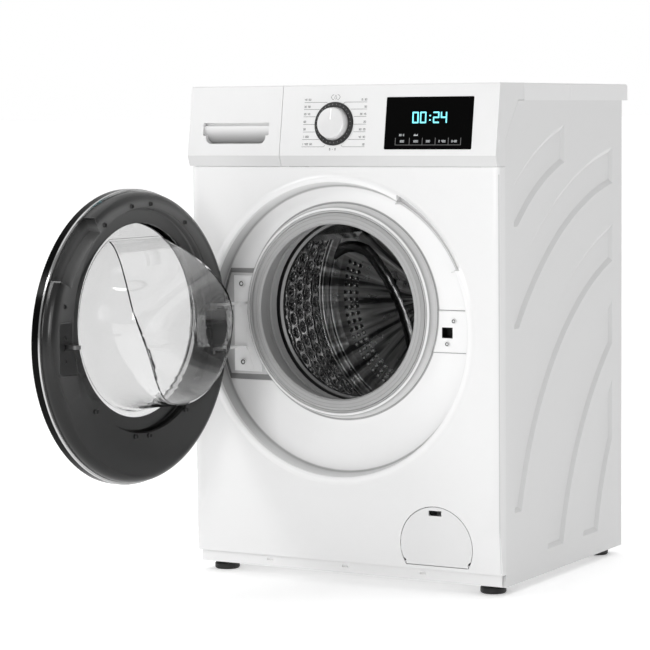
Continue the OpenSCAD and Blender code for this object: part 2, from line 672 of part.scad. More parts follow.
module control_board() color("#2f5d3a") in_row() difference() {
    union() {
        block([-92, 278], [board_y, board_y + 2], [plate_top + 6, plate_top + 100]);
        block([-60, 262], [board_y + 2, board_y + 12], [plate_top + 12, plate_top + 60]);
        on_face(knob_x, knob_z) translate([0, 0, -46]) cylinder(r = 9, h = 18);
        block([display_x - 60, display_x + 60], [14, board_y + 0.1], [plate_top + 50, plate_top + 92]);
    }
    on_face(knob_x, knob_z) translate([0, 0, -60]) cylinder(r = 3 + seat, h = 80);
}

// ---------- detergent drawer ----------

grip_x = [-268.5, -136];
grip_z = [plate_top + 39, plate_top + 75];
grip_back = 8;
module grip_outline(g) translate([(grip_x[0] + grip_x[1]) / 2, (grip_z[0] + grip_z[1]) / 2]) {
    w = grip_x[1] - grip_x[0];
    h = grip_z[1] - grip_z[0];
    intersection() {
        rounded(w - 12 + 2 * g, h + 2 * g, 12);
        translate([-w, -h / 2 - g]) square([2 * w, h * 0.7]);
    }
    translate([-w / 2 - g, -h * 0.1]) square([w + 2 * g, h * 0.6 + g]);
}
// Rounded roll inside the grip, with a finger slot above it
roll_y = face_y(grip_z[1]) + 3;
roll_z = grip_z[0] + 17;
module grip_roll() along_x(grip_x[0] - 9, grip_x[1] + 9) polygon(concat(
    [[grip_back + 9, grip_z[1] - 5.5], [roll_y, grip_z[1] - 5.5]],
    [for (t = [0:10:80]) [grip_back - (grip_back - roll_y) * cos(t), roll_z - 16 * sin(t)]],
    [[grip_back + 9, roll_z - 16 * sin(80)]]
));
module drawer_front() color(white) in_row() difference() {
    union() {
        difference() {
            intersection() {
                along_x(-half_w, split_x - joint_gap) panel_profile();
                block([-half_w - 1, split_x], [-60, drawer_back], [0, cab_h + 1]);
            }
            intersection() {
                along_x(-half_w + panel_wall, split_x - joint_gap - panel_wall) panel_inside(panel_wall);
                block([-half_w, split_x], [-60, drawer_back + 1], [plate_top + 3, cab_h - 3]);
            }
        }
        intersection() {
            along_y(-30, grip_back + panel_wall) grip_outline(panel_wall);
            along_x(-half_w + 1, split_x - 1) panel_profile();
        }
        for (x = tray_x) block([x - 1.5, x + 1.5], [face_y(tray_z[0]) + 1, drawer_back], tray_z);
    }
    difference() {
        along_y(-60, grip_back) grip_outline(0);
        grip_roll();
    }
}
module drawer_tray() color(shade) in_row() {
    y0 = drawer_back + seat;
    for (x = [tray_x[0] + 10, tray_x[1] - 14])
        block([x, x + 4], [y0 + 20, y0 + tray_l], [tray_z[0] - tray_gap + seat, tray_z[0] + eps]);
    inner = tray_x[1] - tray_x[0] - 4 * tray_wall;
    difference() {
        block(tray_x, [y0, y0 + tray_l], tray_z);
        for (i = [0:2]) {
            part = [0, 0.45, 0.68, 1];
            x0 = tray_x[0] + tray_wall * (1 + i) + inner * part[i];
            block([x0, tray_x[0] + tray_wall * (1 + i) + inner * part[i + 1]], [y0 + tray_wall, y0 + tray_l - tray_wall],
                [tray_z[0] + tray_wall + (i == 1 ? 18 : 0), tray_z[1] + 1]);
        }
    }
}
housing_top = tray_z[1] + tray_gap + tray_wall;
housing_back = drawer_back + tray_l + 14;
module dispenser_housing() color(shade) in_row() difference() {
    union() {
        block([tray_x[0] - tray_gap - tray_wall, tray_x[1] + tray_gap + tray_wall],
            [drawer_back + joint_gap + panel_wall, housing_back], [tray_z[0] - tray_gap - tray_wall, housing_top]);
        rod_z(fill_x, fill_y, tray_z[0] - 12, tray_z[0], 20);
        rod_y(inlet_x, inlet_z, housing_back - 1, housing_back + 12, 9);
    }
    block([tray_x[0] - tray_gap, tray_x[1] + tray_gap], [0, housing_back - tray_wall],
        [tray_z[0] - tray_gap, tray_z[1] + tray_gap]);
    rod_z(fill_x, fill_y, tray_z[0] - 13, tray_z[0], 17);
    rod_y(inlet_x, inlet_z, housing_back - 9, housing_back + 13, 6.5);
}

// ---------- water paths ----------

fill_x = -190;
fill_y = 200;
valve_y = [back_in - 52, back_in - 0.2];
module inlet_valve() color(shade) in_row() difference() {
    union() {
        turned(inlet_x, inlet_z) polygon([
            [0, valve_y[0] + 10], [17, valve_y[0] + 10], [17, back_in - 6], [20, back_in - 6], [20, back_in - 0.2],
            [inlet_r, back_in - 0.2], [inlet_r, back_in + 24], [9, back_in + 24], [9, back_in - 14], [0, back_in - 14]
        ]);
        turned(inlet_x, inlet_z) polygon([[0, valve_y[0] - 8], [9, valve_y[0] - 8], [9, valve_y[0] + 12], [0, valve_y[0] + 12]]);
        rod_x(back_in - 26, inlet_z, inlet_x - 1, inlet_x + 44, 14);
    }
    rod_y(inlet_x, inlet_z, valve_y[0] - 9, valve_y[0] + 16, 6.5);
}
module inlet_hose() color(dark) in_row() difference() {
    rod_y(inlet_x, inlet_z, housing_back + 2, valve_y[0], 12);
    rod_y(inlet_x, inlet_z, 0, cab_d, 9 + fit);
}
tub_top_at_fill = port_z + sqrt(tub_r ^ 2 - (fill_x - door_x) ^ 2);
module bellows(x, y, z0, z1, r, t) {
    n = floor((z1 - z0) / 8);
    step = (z1 - z0) / n;
    translate([x, y, z0]) rotate_extrude() polygon(concat(
        [[r, 0]], [for (i = [0:n - 1]) each [[r + t + 3, step * (i + 0.5)], [r + t, step * (i + 1)]]],
        [for (i = [n - 1:-1:0]) each [[r, step * (i + 1)], [r + 3, step * (i + 0.5)]]]
    ));
}
module fill_hose() color(dark) in_row()
    bellows(fill_x, fill_y, tub_top_at_fill + 22, tray_z[0] - tray_gap - tray_wall - 0.3, 20 + fit, 2);

pump_x = 175;
pump_z = 82;
pump_y = [24, 150];
outlet_y = pump_y[1] - 26;
port_x = 150;
port_y = 108;
sump_z = port_z - sqrt(tub_r ^ 2 - (port_x - door_x) ^ 2) - 20;
module pump_housing() color(shade) in_row() difference() {
    union() {
        rod_y(pump_x, pump_z, pump_y[0], pump_y[1], cap_r + 7);
        block([pump_x - 48, pump_x + 30], [60, pump_y[1] - 6], [base_z + 0.05, pump_z - 14]);
        rod_z(port_x, port_y, pump_z, pump_z + 56, 22);
        rod_x(outlet_y, pump_z - 12, pump_x + 20, drain_x - turn - seat, drain_r);
    }
    rod_y(pump_x, pump_z, pump_y[0] - 1, pump_y[1] - 8, cap_r + 3);
    rod_z(port_x, port_y, pump_z, pump_z + 57, 18);
    rod_x(outlet_y, pump_z - 12, pump_x + 20, drain_x, drain_r - 2.5);
}
module drain_pump() color(dark) in_row() {
    rod_y(pump_x - 10, pump_z, pump_y[1] + 0.1, pump_y[1] + 44, 27);
    block([pump_x - 36, pump_x + 0], [pump_y[1] + 14, pump_y[1] + 40], [base_z + 0.05, pump_z]);
}
module filter_cap() color(shade) in_row() {
    turned(pump_x, pump_z) polygon([
        [0, pump_y[0] - 4], [cap_r + 7, pump_y[0] - 4], [cap_r + 7, pump_y[0] - 0.4], [cap_r + 2.6, pump_y[0] - 0.4],
        [cap_r + 2.6, pump_y[0] + 40], [cap_r - 6, pump_y[0] + 40], [cap_r - 6, pump_y[0] + 4], [0, pump_y[0] + 4]
    ]);
    block([pump_x - 3, pump_x + 3], [pump_y[0] - 13, pump_y[0] - 3], [pump_z - cap_r + 3, pump_z + cap_r - 3]);
}
module filter_flap() color(white) in_row() on_lean(flap_x, flap_z) {
    difference() {
        translate([0, 0, -flap_t]) linear_extrude(flap_t) flap_shape();
        translate([-12, flap_r - 15, -flap_t - 1]) cube([24, 9, flap_t + 2]);
    }
    translate([-flap_pin, flap_axis[0], flap_axis[1]]) rotate([0, 90, 0]) cylinder(r = 1.5, h = 2 * flap_pin, $fn = 32);
    for (s = [-1, 1]) translate([s * 46 - 5, flap_axis[0] - 2, flap_axis[1] - 1.5]) cube([10, 4, 3]);
}
bend = 42;
turn = 22;
module drain_hose() color("#8f9294") in_row() translate([drain_x, 0, 0]) {
    y0 = outlet_y;
    y1 = back_in - 44;
    z0 = pump_z - 12;
    // Runs back along the base, up beside the tub, and out through the back panel
    hose_r = drain_r + 3;
    translate([0, 0, z0]) {
        translate([0, y0 + turn, 0]) rotate([-90, 0, 0]) cylinder(r = hose_r, h = y1 - y0 - turn - bend);
        translate([0, y1 - bend, bend]) rotate([90, 0, 90]) rotate_extrude(angle = 90, start = -90)
            translate([bend, 0]) circle(hose_r);
        translate([0, y1, bend]) cylinder(r = hose_r, h = drain_z - z0 - 1.5 * bend);
        translate([-turn, y0 + turn, 0]) rotate_extrude(angle = 90, start = -90)
            translate([turn, 0]) circle(hose_r);
    }
    translate([0, y1 + bend / 2, drain_z - bend / 2]) rotate([90, 0, 90]) rotate_extrude(angle = 90, start = 90)
        translate([bend / 2, 0]) circle(hose_r);
    translate([0, y1 + bend / 2, drain_z]) rotate([-90, 0, 0]) cylinder(r = hose_r, h = back_in - y1 - bend / 2 - 0.1);
    translate([0, back_in - 4, drain_z]) rotate([-90, 0, 0]) cylinder(r = drain_r, h = 30);
}
module sump_hose() color(dark) in_row()
    bellows(port_x, port_y, pump_z + 40, sump_z - 2, 22 + fit, 2);

// ---------- tub ----------

tub_seam_y = 236;
tub_rear_y = tub_back_y + 4;
bearing_r = 31;
hub_end = tub_back_y + 42;
pulley_y = hub_end + 8;
module tub_front() color("#c9cccf") in_row() {
    difference() {
        turned(door_x, port_z) polygon([
            [neck_r - 3, tub_front_y - 14], [neck_r, tub_front_y - 14], [neck_r, tub_front_y], [tub_r - 8, tub_front_y],
            [tub_r, tub_front_y + 8], [tub_r, tub_seam_y - 5], [tub_r + 4, tub_seam_y - 5], [tub_r + 4, tub_seam_y - 0.1],
            [tub_r - tub_t, tub_seam_y - 0.1], [tub_r - tub_t, tub_front_y + 10], [tub_r - 11, tub_front_y + 4],
            [neck_r - 3, tub_front_y + 4]
        ]);
        rod_z(fill_x, fill_y, port_z, port_z + tub_r + 40, 15);
        rod_z(port_x, port_y, port_z - tub_r - 9, port_z - 100, 16);
        for (a = heater_at) rod_y(heater(a)[0], heater(a)[1], 0, tub_front_y + 9, 4.4);
    }
    nozzle(fill_x, fill_y, tub_top_at_fill - 6, tub_top_at_fill + 30, 16, 20);
    nozzle(port_x, port_y, sump_z - 12, sump_z + 30, 18, 22);
}
// Short tube that ends inside the tub's wall
module nozzle(x, y, z0, z1, r0, r1) difference() {
    rod_z(x, y, z0, z1, r1);
    rod_z(x, y, z0 - 1, z1 + 1, r0);
    rod_y(door_x, port_z, 0, tub_seam_y, tub_r - tub_t + 1);
}
ear_x = tub_r - 37;
ear_z = port_z + 0.62 * tub_r;
damper_x = 130;
damper_y = 246;
module tub_rear() color("#c9cccf") in_row() {
    difference() {
        union() {
            turned(door_x, port_z) polygon([
                [tub_r + 4, tub_seam_y + 0.1], [tub_r + 4, tub_seam_y + 5], [tub_r, tub_seam_y + 5], [tub_r, tub_rear_y - 8],
                [tub_r - 8, tub_rear_y], [46, tub_rear_y], [40, hub_end], [18, hub_end], [18, tub_back_y - 3],
                [46, tub_back_y - 3], [50, tub_back_y], [tub_r - 12, tub_back_y], [tub_r - tub_t, tub_back_y - 8],
                [tub_r - tub_t, tub_seam_y + 0.1]
            ]);
            for (a = [0:30:330]) translate([door_x, tub_rear_y - 1, port_z]) rotate([0, a, 0])
                along_y(0, 22) polygon([[38, -2], [tub_r - 10, -2], [tub_r - 10, 2], [38, 2]]);
            for (s = [-1, 1]) difference() {
                block([door_x + s * ear_x - 9, door_x + s * ear_x + 9], [rail_y[0] - 5, rail_y[0] + 5], [ear_z - 40, ear_z]);
                rod_y(door_x, port_z, 0, cab_d, tub_r - 1);
            }
            for (s = [-1, 1]) difference() {
                block([door_x + s * damper_x - 10, door_x + s * damper_x + 10], [damper_y - 8, damper_y + 8],
                    [damper_top, damper_top + 30]);
                rod_y(door_x, port_z, 0, cab_d, tub_r - 1);
            }
        }
        rod_y(door_x, port_z, tub_back_y - 4, tub_back_y + 18, bearing_r + seat);
        rod_y(door_x, port_z, hub_end - 16, hub_end + 1, bearing_r + seat);
    }
}
damper_top = port_z - sqrt(tub_r ^ 2 - damper_x ^ 2) - 14;
module drum_bearings() color(steel) in_row()
    for (y = [tub_back_y + 2, hub_end - 16 + 0.1]) turned(door_x, port_z) polygon([
        [shaft_r + seat, y], [bearing_r, y], [bearing_r, y + 15], [shaft_r + seat, y + 15]
    ]);
module shaft_seal() color(dark) in_row() turned(door_x, port_z) polygon([
    [shaft_r + fit, tub_back_y - 4], [bearing_r - 0.2, tub_back_y - 4], [bearing_r - 0.2, tub_back_y + 1.9],
    [shaft_r + fit, tub_back_y + 1.9]
]);
module counterweights() color("#8d8f90") in_row() {
    difference() {
        block([-96, 108], [112, 320], [port_z + 220, rail_z - 16 - bounce]);
        rod_y(door_x, port_z, 0, cab_d, tub_r + 0.2);
        rod_y(door_x, port_z, tub_seam_y - 6, tub_seam_y + 6, tub_r + 4.3);
    }
    turned(door_x, port_z, 35, 110) polygon([
        [neck_r + 12, tub_front_y - 26], [tub_r - 36, tub_front_y - 26], [tub_r - 30, tub_front_y - 0.1], [neck_r + 12, tub_front_y - 0.1]
    ]);
}
heater_at = [-98, -90, -82];
function heater(a) = [door_x + (drum_r + 9) * cos(a), port_z + (drum_r + 9) * sin(a)];
module heater() color(steel) in_row() {
    for (a = [heater_at[0], heater_at[2]]) rod_y(heater(a)[0], heater(a)[1], tub_front_y - 12, drum_back_y - 20, 4);
    rod_x(drum_back_y - 20, heater(heater_at[0])[1], heater(heater_at[0])[0] - 4, heater(heater_at[2])[0] + 4, 4);
    block([heater(heater_at[0])[0] - 8, heater(heater_at[2])[0] + 8], [tub_front_y - 4, tub_front_y - 0.1],
        [port_z - drum_r - 18, port_z - drum_r - 2]);
}

// Springs and dampers that carry the tub
coil_r = 11;
wire_r = 2;
module coil(n, r, w, h) {
    sides = 4;
    steps = 8;
    points = [for (i = [0:n * steps]) let (a = 360 * i / steps, z = h * i / (n * steps)) for (j = [0:sides - 1])
        let (b = 360 * j / sides) [(r + w * cos(b)) * cos(a), (r + w * cos(b)) * sin(a), z + w * sin(b)]];
    polyhedron(points, concat(
        [[for (j = [sides - 1:-1:0]) j]],
        [for (i = [0:n * steps - 1], j = [0:sides - 1]) let (k = (j + 1) % sides, a = i * sides, b = a + sides)
            each [[a + k, b + k, b + j], [a + k, b + j, a + j]]],
        [[for (j = [0:sides - 1]) n * steps * sides + j]]
    ));
}
module suspension_springs() color(steel) in_row() for (s = [-1, 1]) translate([door_x + s * ear_x, rail_y[0], ear_z + 0.3]) {
    h = rail_z - ear_z - 0.6;
    cylinder(r = coil_r + wire_r, h = 3);
    translate([0, 0, h - 3]) cylinder(r = coil_r + wire_r, h = 3);
    translate([0, 0, 3]) coil(9, coil_r, wire_r, h - 6);
}
rod_r = 6;
module damper_tubes() color(dark) in_row() for (s = [-1, 1]) difference() {
    rod_z(door_x + s * damper_x, damper_y, base_z + 4.05, base_z + 120, 16);
    rod_z(door_x + s * damper_x, damper_y, base_z + 12, base_z + 121, 10);
}
module damper_rods() color(steel) in_row() for (s = [-1, 1]) {
    rod_z(door_x + s * damper_x, damper_y, base_z + 60, damper_top - seat, rod_r);
    rod_z(door_x + s * damper_x, damper_y, base_z + 62, base_z + 90, 9.7);
}

// ---------- motor and belt ----------

motor_x = 40;
motor_z = 122;
motor_y = [tub_back_y - 90, tub_back_y + 20];
module motor_housing() color("#6d7073") in_row() difference() {
    union() {
        rod_y(motor_x, motor_z, motor_y[0], motor_y[1], 58);
        for (s = [-1, 1]) difference() {
            block([motor_x + s * 40 - 9, motor_x + s * 40 + 9], [motor_y[0] + 10, motor_y[0] + 34], [motor_z, port_z]);
            rod_y(door_x, port_z, 0, cab_d, tub_r + 0.2);
        }
    }
    rod_y(motor_x, motor_z, motor_y[0] + 8, motor_y[1] + 1, 6 + fit);
}
module motor_rotor() color(steel) in_row() turned(motor_x, motor_z) polygon([
    [0, motor_y[0] + 12], [6, motor_y[0] + 12], [6, pulley_y - 1], [pinion_r + 2, pulley_y - 1], [pinion_r + 2, pulley_y + 1],
    [pinion_r, pulley_y + 1.5], [pinion_r, pulley_y + 16.5], [pinion_r + 2, pulley_y + 17], [pinion_r + 2, pulley_y + 19], [0, pulley_y + 19]
]);
belt_t = 3;
belt_w = 13;
belt_run = norm([motor_x - door_x, motor_z - port_z]);
belt_lean = atan2(motor_z - port_z, motor_x - door_x);
belt_wrap = acos((pulley_r - pinion_r) / belt_run);
module belt_outline(g) {
    big = pulley_r + fit + g;
    small = pinion_r + fit + g;
    rotate(belt_lean) polygon(concat(
        arc(0, 0, big, belt_wrap, 360 - belt_wrap, 60), arc(belt_run, 0, small, -belt_wrap, belt_wrap, 12)
    ));
}
module drive_belt() color(dark) in_row() translate([door_x, 0, port_z]) along_y(pulley_y + 2.5, pulley_y + 2.5 + belt_w)
    difference() {
        belt_outline(belt_t);
        belt_outline(0);
    }

// ---------- drum ----------

lifter_at = [22, 142, 262];
drum_end = drum_back_y - 4;
module drum_shell() color(steel) in_row() turned(door_x, port_z) ribbon(concat(
    [[drum_r - drum_t / 2, drum_front_y + 12]],
    [[drum_r - drum_t / 2, drum_end - 14]],
    arc(drum_r - drum_t / 2 - 7, drum_end - 14, 7, 0, 90, 4)
), drum_t);
module drum_front() color(steel) in_row() turned(door_x, port_z) ribbon([
    [drum_r - drum_t - 0.8, drum_front_y + 22], [drum_r - drum_t - 0.8, drum_front_y + 14], [drum_r - 6, drum_front_y + 6],
    [drum_r - 14, drum_front_y + 4], [mouth_r + 24, drum_front_y + 4], [mouth_r + 14, drum_front_y + 1],
    [mouth_r + 5, drum_front_y + 0.6], [mouth_r + 1, drum_front_y + 3], [mouth_r + 0.6, drum_front_y + 9]
], drum_t);
star_deep = 8;
star_half = 43;
star_r = drum_r - 34;
hub_r = 86;
module star_recess(a, g) turned(door_x, port_z, a - star_half - g / 3, 2 * star_half + 2 * g / 3) polygon([
    [hub_r - g, drum_end - 20], [star_r + g, drum_end - 20], [star_r + g, drum_end - 0.9],
    [star_r - 8 + g, drum_end + star_deep + g - 1], [hub_r + 8 - g, drum_end + star_deep + g - 1], [hub_r - g, drum_end - 0.9]
]);
star_at = [38, 158, 278];
module drum_back() color(steel) in_row() difference() {
    union() {
        turned(door_x, port_z) ribbon(concat(
            arc(drum_r - drum_t / 2 - 7, drum_end - 14, 5.6, 10, 90, 3),
            [[drum_r - 12, drum_end - 8.4], [drum_r - 16, drum_end - 7], [drum_r - 17.2, drum_end - 1.5], [drum_r - 20, drum_end]],
            [[hub_r - 10, drum_end], [hub_r - 30, drum_end - 10], [30, drum_end - 13], [0, drum_end - 13]]
        ), drum_t);
        intersection() {
            for (a = star_at) star_recess(a, drum_t);
            rod_y(door_x, port_z, drum_end - 1.4, drum_end + 30, star_r + 4);
        }
    }
    for (a = star_at) star_recess(a, 0);
}
module drum_lifters() color(steel) in_row() for (a = lifter_at) translate([door_x, 0, port_z]) rotate([0, -a, 0])
    difference() {
        intersection() {
            along_y(drum_front_y + 30, drum_end - 22) polygon([
                [drum_r + 9, -36], [drum_r - 12, -34], [drum_r - 40, -16], [drum_r - 54, -7],
                [drum_r - 54, 7], [drum_r - 40, 16], [drum_r - 12, 34], [drum_r + 9, 36]
            ]);
            rod_y(0, 0, 0, cab_d, drum_r - drum_t - fit);
        }
        along_y(drum_front_y + 33, drum_end - 25) polygon([
            [drum_r + 9, -30], [drum_r - 14, -28], [drum_r - 40, -12], [drum_r - 50, -4],
            [drum_r - 50, 4], [drum_r - 40, 12], [drum_r - 14, 28], [drum_r + 9, 30]
        ]);
    }
spider_y = drum_end + drum_t / 2 + 0.1;
module drum_spider() color("#a2a6aa") in_row() difference() {
    union() {
        rod_y(door_x, port_z, spider_y, tub_back_y - 6, 42);
        for (a = star_at) translate([door_x, 0, port_z]) rotate([0, a - 60, 0]) along_y(spider_y, spider_y + 9)
            polygon([[20, -17], [drum_r - 24, -9], [drum_r - 16, 0], [drum_r - 24, 9], [20, 17]]);
    }
    rod_y(door_x, port_z, 0, cab_d, shaft_r + seat);
}
module drum_shaft() color(steel) in_row() turned(door_x, port_z) polygon([
    [0, spider_y + 0.5], [shaft_r, spider_y + 0.5], [shaft_r, pulley_y], [12, pulley_y], [12, pulley_y + 21], [0, pulley_y + 21]
]);
module drum_pulley() color("#a2a6aa") in_row() difference() {
    union() {
        turned(door_x, port_z) polygon([
            [pulley_r - 8, pulley_y], [pulley_r + 1.5, pulley_y], [pulley_r + 1.5, pulley_y + 1.5], [pulley_r, pulley_y + 2],
            [pulley_r, pulley_y + 16], [pulley_r + 1.5, pulley_y + 16.5], [pulley_r + 1.5, pulley_y + 18], [pulley_r - 8, pulley_y + 18]
        ]);
        turned(door_x, port_z) polygon([[12 + seat, pulley_y], [30, pulley_y], [30, pulley_y + 18], [12 + seat, pulley_y + 18]]);
        for (a = [0:60:300]) translate([door_x, 0, port_z]) rotate([0, a, 0]) block([28, pulley_r - 4], [pulley_y + 5, pulley_y + 13], [-7, 7]);
    }
}

// ---------- door ----------

module door_ring() color(dark) on_door() difference() {
    turned(hinge_arm, door_z) ribbon([
        [ring_r - 1.2, ring_back], [ring_r - 1.2, -4.5], [ring_r - 5, -8], [ring_r - 14, -11.5],
        [ring_r - 28, -13.5], [window_r - 2, -14.5], [window_r - 6, -12.5], [window_r - 14, -11]
    ], 2.4);
    hinge_slots();
}
module door_trim() color("#dfe2e4") on_door() difference() {
    turned(hinge_arm, door_z) polygon([
        [frame_r + 0.3, ring_back + 0.3], [ring_r - 0.2, ring_back + 0.3], [ring_r - 0.6, ring_back + 3.3], [frame_r + 0.3, ring_back + 4]
    ]);
    hinge_slots();
}
grip_from = 26;
grip_to = 57;
// Openings in the frame for the hinge arms and knuckles
module hinge_slots() for (z = arm_z)
    block([-ring_r, 48], [-knuckle_r - 0.5, frame_face + 9], [z - arm_t / 2 - 4, z + arm_t / 2 + 4]);
module frame_grip(g) turned(hinge_arm, door_z, -grip_to - g / 4, grip_to - grip_from + g / 2) polygon([
    [frame_r - 30 - g, frame_face + 5], [frame_r + 9, frame_face + 5], [frame_r + 9, ring_back + 5 - g], [frame_r - 26 - g, ring_back + 5 - g]
]);
door_w = 2.4;
face_mid = frame_face - door_w / 2;
module door_frame() color(dark) on_door() difference() {
    union() {
        difference() {
            turned(hinge_arm, door_z) ribbon(concat(
                [[frame_r - door_w / 2, -2], [frame_r - door_w / 2, 18]],
                arc(frame_r - door_w / 2 - 14.5, 18, face_mid - 18, 5, 90, 5),
                [[channel_r - port_rise - 14, face_mid]]
            ), door_w);
            rod_y(hinge_arm, bowl_z, 0, 60, channel_r - 1);
        }
        turned(hinge_arm, bowl_z) ribbon([
            [channel_r + 6, face_mid], [channel_r + 1, face_mid], [channel_r - 1.5, face_mid - 3],
            [channel_r - 3, face_mid - channel_d + 2], [channel_r - 6, face_mid - channel_d], [bowl_r + 1, face_mid - channel_d]
        ], door_w);
        intersection() {
            frame_grip(door_w);
            difference() {
                rod_y(hinge_arm, door_z, -2, frame_face, frame_r - 0.1);
                rod_y(hinge_arm, bowl_z, -9, 60, channel_r + 1);
            }
        }
    }
    frame_grip(0);
    hinge_slots();
    rod_z(0, 0, arm_z[0] - 15, arm_z[1] + 15, knuckle_r + fit);
    block([latch_u - 32, latch_u + 22], [frame_face - 1.2, frame_face + 9], [lock_z - 46, lock_z + 37]);
    block([latch_u - 11.5, latch_u + 11.5], [0, 60], [lock_z - 7, lock_z + 7]);
}
latch_u = lock_x - hinge_x;
module latch_plate() color(dark) on_door() difference() {
    union() {
        block([latch_u - 31.5, latch_u + 21.5], [frame_face - 1.15, frame_face + 0.4], [lock_z - 45.5, lock_z + 36.5]);
        for (s = [-1, 1]) block([latch_u - 11, latch_u + 11], [frame_face - 14, frame_face + 3],
            [lock_z + s * 5 - 1.2, lock_z + s * 5 + 1.2]);
    }
    block([latch_u - 7, latch_u + 7], [0, 60], [lock_z - 3.8, lock_z + 3.8]);
    rod_y(hinge_arm, bowl_z, 0, 60, channel_r + 4);
    rod_z(latch_u, frame_face - 6, lock_z - 20, lock_z + 20, 2 + seat);
}
hook_tip = floor_y + 15 - hinge_y;
module latch_hook() color(steel) on_door() {
    translate([0, 0, lock_z - 3.2]) linear_extrude(6.4) polygon([
        [latch_u - 4, frame_face - 9], [latch_u + 4, frame_face - 9], [latch_u + 3, hook_tip - 8], [latch_u + 8, hook_tip - 7],
        [latch_u + 6.5, hook_tip - 3], [latch_u + 1, hook_tip], [latch_u - 2.5, hook_tip - 1], [latch_u - 4, hook_tip - 12]
    ]);
    rod_z(latch_u, frame_face - 6, lock_z - 6, lock_z + 6, 2);
}
module door_screws() color(steel) on_door() {
    r1 = channel_r + 4.5;
    for (a = [57, 80, 95, 125, 236, 268, 279, 314])
        turned(hinge_arm + r1 * cos(a), bowl_z + r1 * sin(a)) polygon([
            [0, frame_face + 0.1], [4, frame_face + 0.1], [3.4, frame_face + 1.8], [0, frame_face + 2.4]
        ]);
}
// Bowl: flange, conical wall and domed end, shallower towards the top
glass_y = face_mid - channel_d - door_w / 2 - 0.1;
module bowl_solid(g) intersection() {
    turned(hinge_arm, bowl_z) polygon(concat(
        [[0, glass_y - 5], [bowl_r - 7 - g, glass_y - 5], [bowl_r - 8 - g, glass_y], [bowl_r - 12 - g, glass_y + 14]],
        [[bowl_r - 17 - g, glass_y + 40]],
        arc(bowl_end_r - 10 - g, glass_y + bowl_h - 30, 30 , 20, 90, 5),
        [[0, glass_y + bowl_h]]
    ));
    rod_x(glass_y + bowl_h - bowl_curve, bowl_z - bowl_drop, hinge_arm - 300, hinge_arm + 300, bowl_curve - g);
}
module door_glass() color([0.85, 0.88, 0.9, 0.4]) on_door() difference() {
    union() {
        bowl_solid(0);
        turned(hinge_arm, bowl_z) translate([20, glass_y - glass_t]) square([channel_r - 16 - 20, glass_t]);
    }
    bowl_solid(glass_t);
}
module door_window() color([0.8, 0.84, 0.88, 0.35]) on_door() turned(hinge_arm, door_z) ribbon([
    [window_r - 15, -8.3], [window_r - 24, -9.5], [140, -14], [80, -17], [40, -18], [0, -18]
], 3);
module door_hinge() color(steel) on_door() {
    rod_z(0, 0, arm_z[0] - 12, arm_z[1] + 12, pin_r);
    rod_z(0, 0, arm_z[0] + arm_t / 2 + 2.4, arm_z[1] - arm_t / 2 - 2.4, knuckle_r);
    block([0, 34], [-knuckle_r, -knuckle_r + 3], [arm_z[0] + arm_t / 2 + 4.5, arm_z[1] - arm_t / 2 - 4.5]);
    block([21, 34], [-11.5, -knuckle_r + 3], [arm_z[0] + arm_t / 2 + 4.5, arm_z[1] - arm_t / 2 - 4.5]);
}
side_panel_left();
side_panel_right();
front_plate();
back_panel();
rear_cover();
worktop();
base_pan();
top_rails();
levelling_feet();
control_panel();
display_window();
control_board();
selector_ring();
selector_knob();
drawer_front();
drawer_tray();
dispenser_housing();
inlet_valve();
inlet_hose();
fill_hose();
door_gasket();
door_lock();
front_screws();
hinge_bracket();
pump_housing();
drain_pump();
filter_cap();
filter_flap();
drain_hose();
sump_hose();
transit_caps();
mains_gland();
suspension_springs();
damper_tubes();
damper_rods();
tub_front();
tub_rear();
counterweights();
heater();
drum_bearings();
shaft_seal();
motor_housing();
motor_rotor();
drive_belt();
drum_shell();
drum_front();
drum_back();
drum_lifters();
drum_spider();
drum_shaft();
drum_pulley();
door_ring();
door_trim();
door_frame();
door_glass();
door_window();
door_hinge();
door_screws();
latch_plate();
latch_hook();
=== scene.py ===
import json
import math
import bpy
from mathutils import Vector, Matrix
from mathutils.bvhtree import BVHTree


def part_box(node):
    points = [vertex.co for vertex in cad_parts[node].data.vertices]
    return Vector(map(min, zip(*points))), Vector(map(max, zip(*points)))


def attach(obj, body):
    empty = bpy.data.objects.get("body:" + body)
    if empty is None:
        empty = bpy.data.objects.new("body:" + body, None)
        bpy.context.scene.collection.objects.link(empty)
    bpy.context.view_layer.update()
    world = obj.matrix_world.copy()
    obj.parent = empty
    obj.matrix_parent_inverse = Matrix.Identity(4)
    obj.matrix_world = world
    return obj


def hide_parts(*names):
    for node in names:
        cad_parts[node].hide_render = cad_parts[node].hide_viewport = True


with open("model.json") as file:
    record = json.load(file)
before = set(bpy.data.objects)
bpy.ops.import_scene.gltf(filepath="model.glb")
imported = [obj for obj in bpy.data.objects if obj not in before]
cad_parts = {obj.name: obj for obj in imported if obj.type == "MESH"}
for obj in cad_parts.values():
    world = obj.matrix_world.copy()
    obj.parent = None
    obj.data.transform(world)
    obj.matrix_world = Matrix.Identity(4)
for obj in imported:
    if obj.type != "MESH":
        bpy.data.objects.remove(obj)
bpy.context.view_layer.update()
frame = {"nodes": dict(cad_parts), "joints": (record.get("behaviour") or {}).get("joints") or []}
NODES = frame["nodes"]
JOINTS = {j["name"]: j for j in frame["joints"]}

# ---------- places taken from the frame ----------

SHELL_LOW, SHELL_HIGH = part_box("drum_shell")
DRUM = Vector(JOINTS["drum_spin"]["pos_m"])
# Middle of the drum and of the loading opening, seen from the front
AXIS = Vector((DRUM.x, 0, DRUM.z))
# Depth of the flat face of the front plate
FACE = DRUM.y - 0.232
# Height of the middle of the door and of the recess
DOOR_Z = 0.435
RECESS_MIDDLE = Vector((AXIS.x, 0, DOOR_Z))

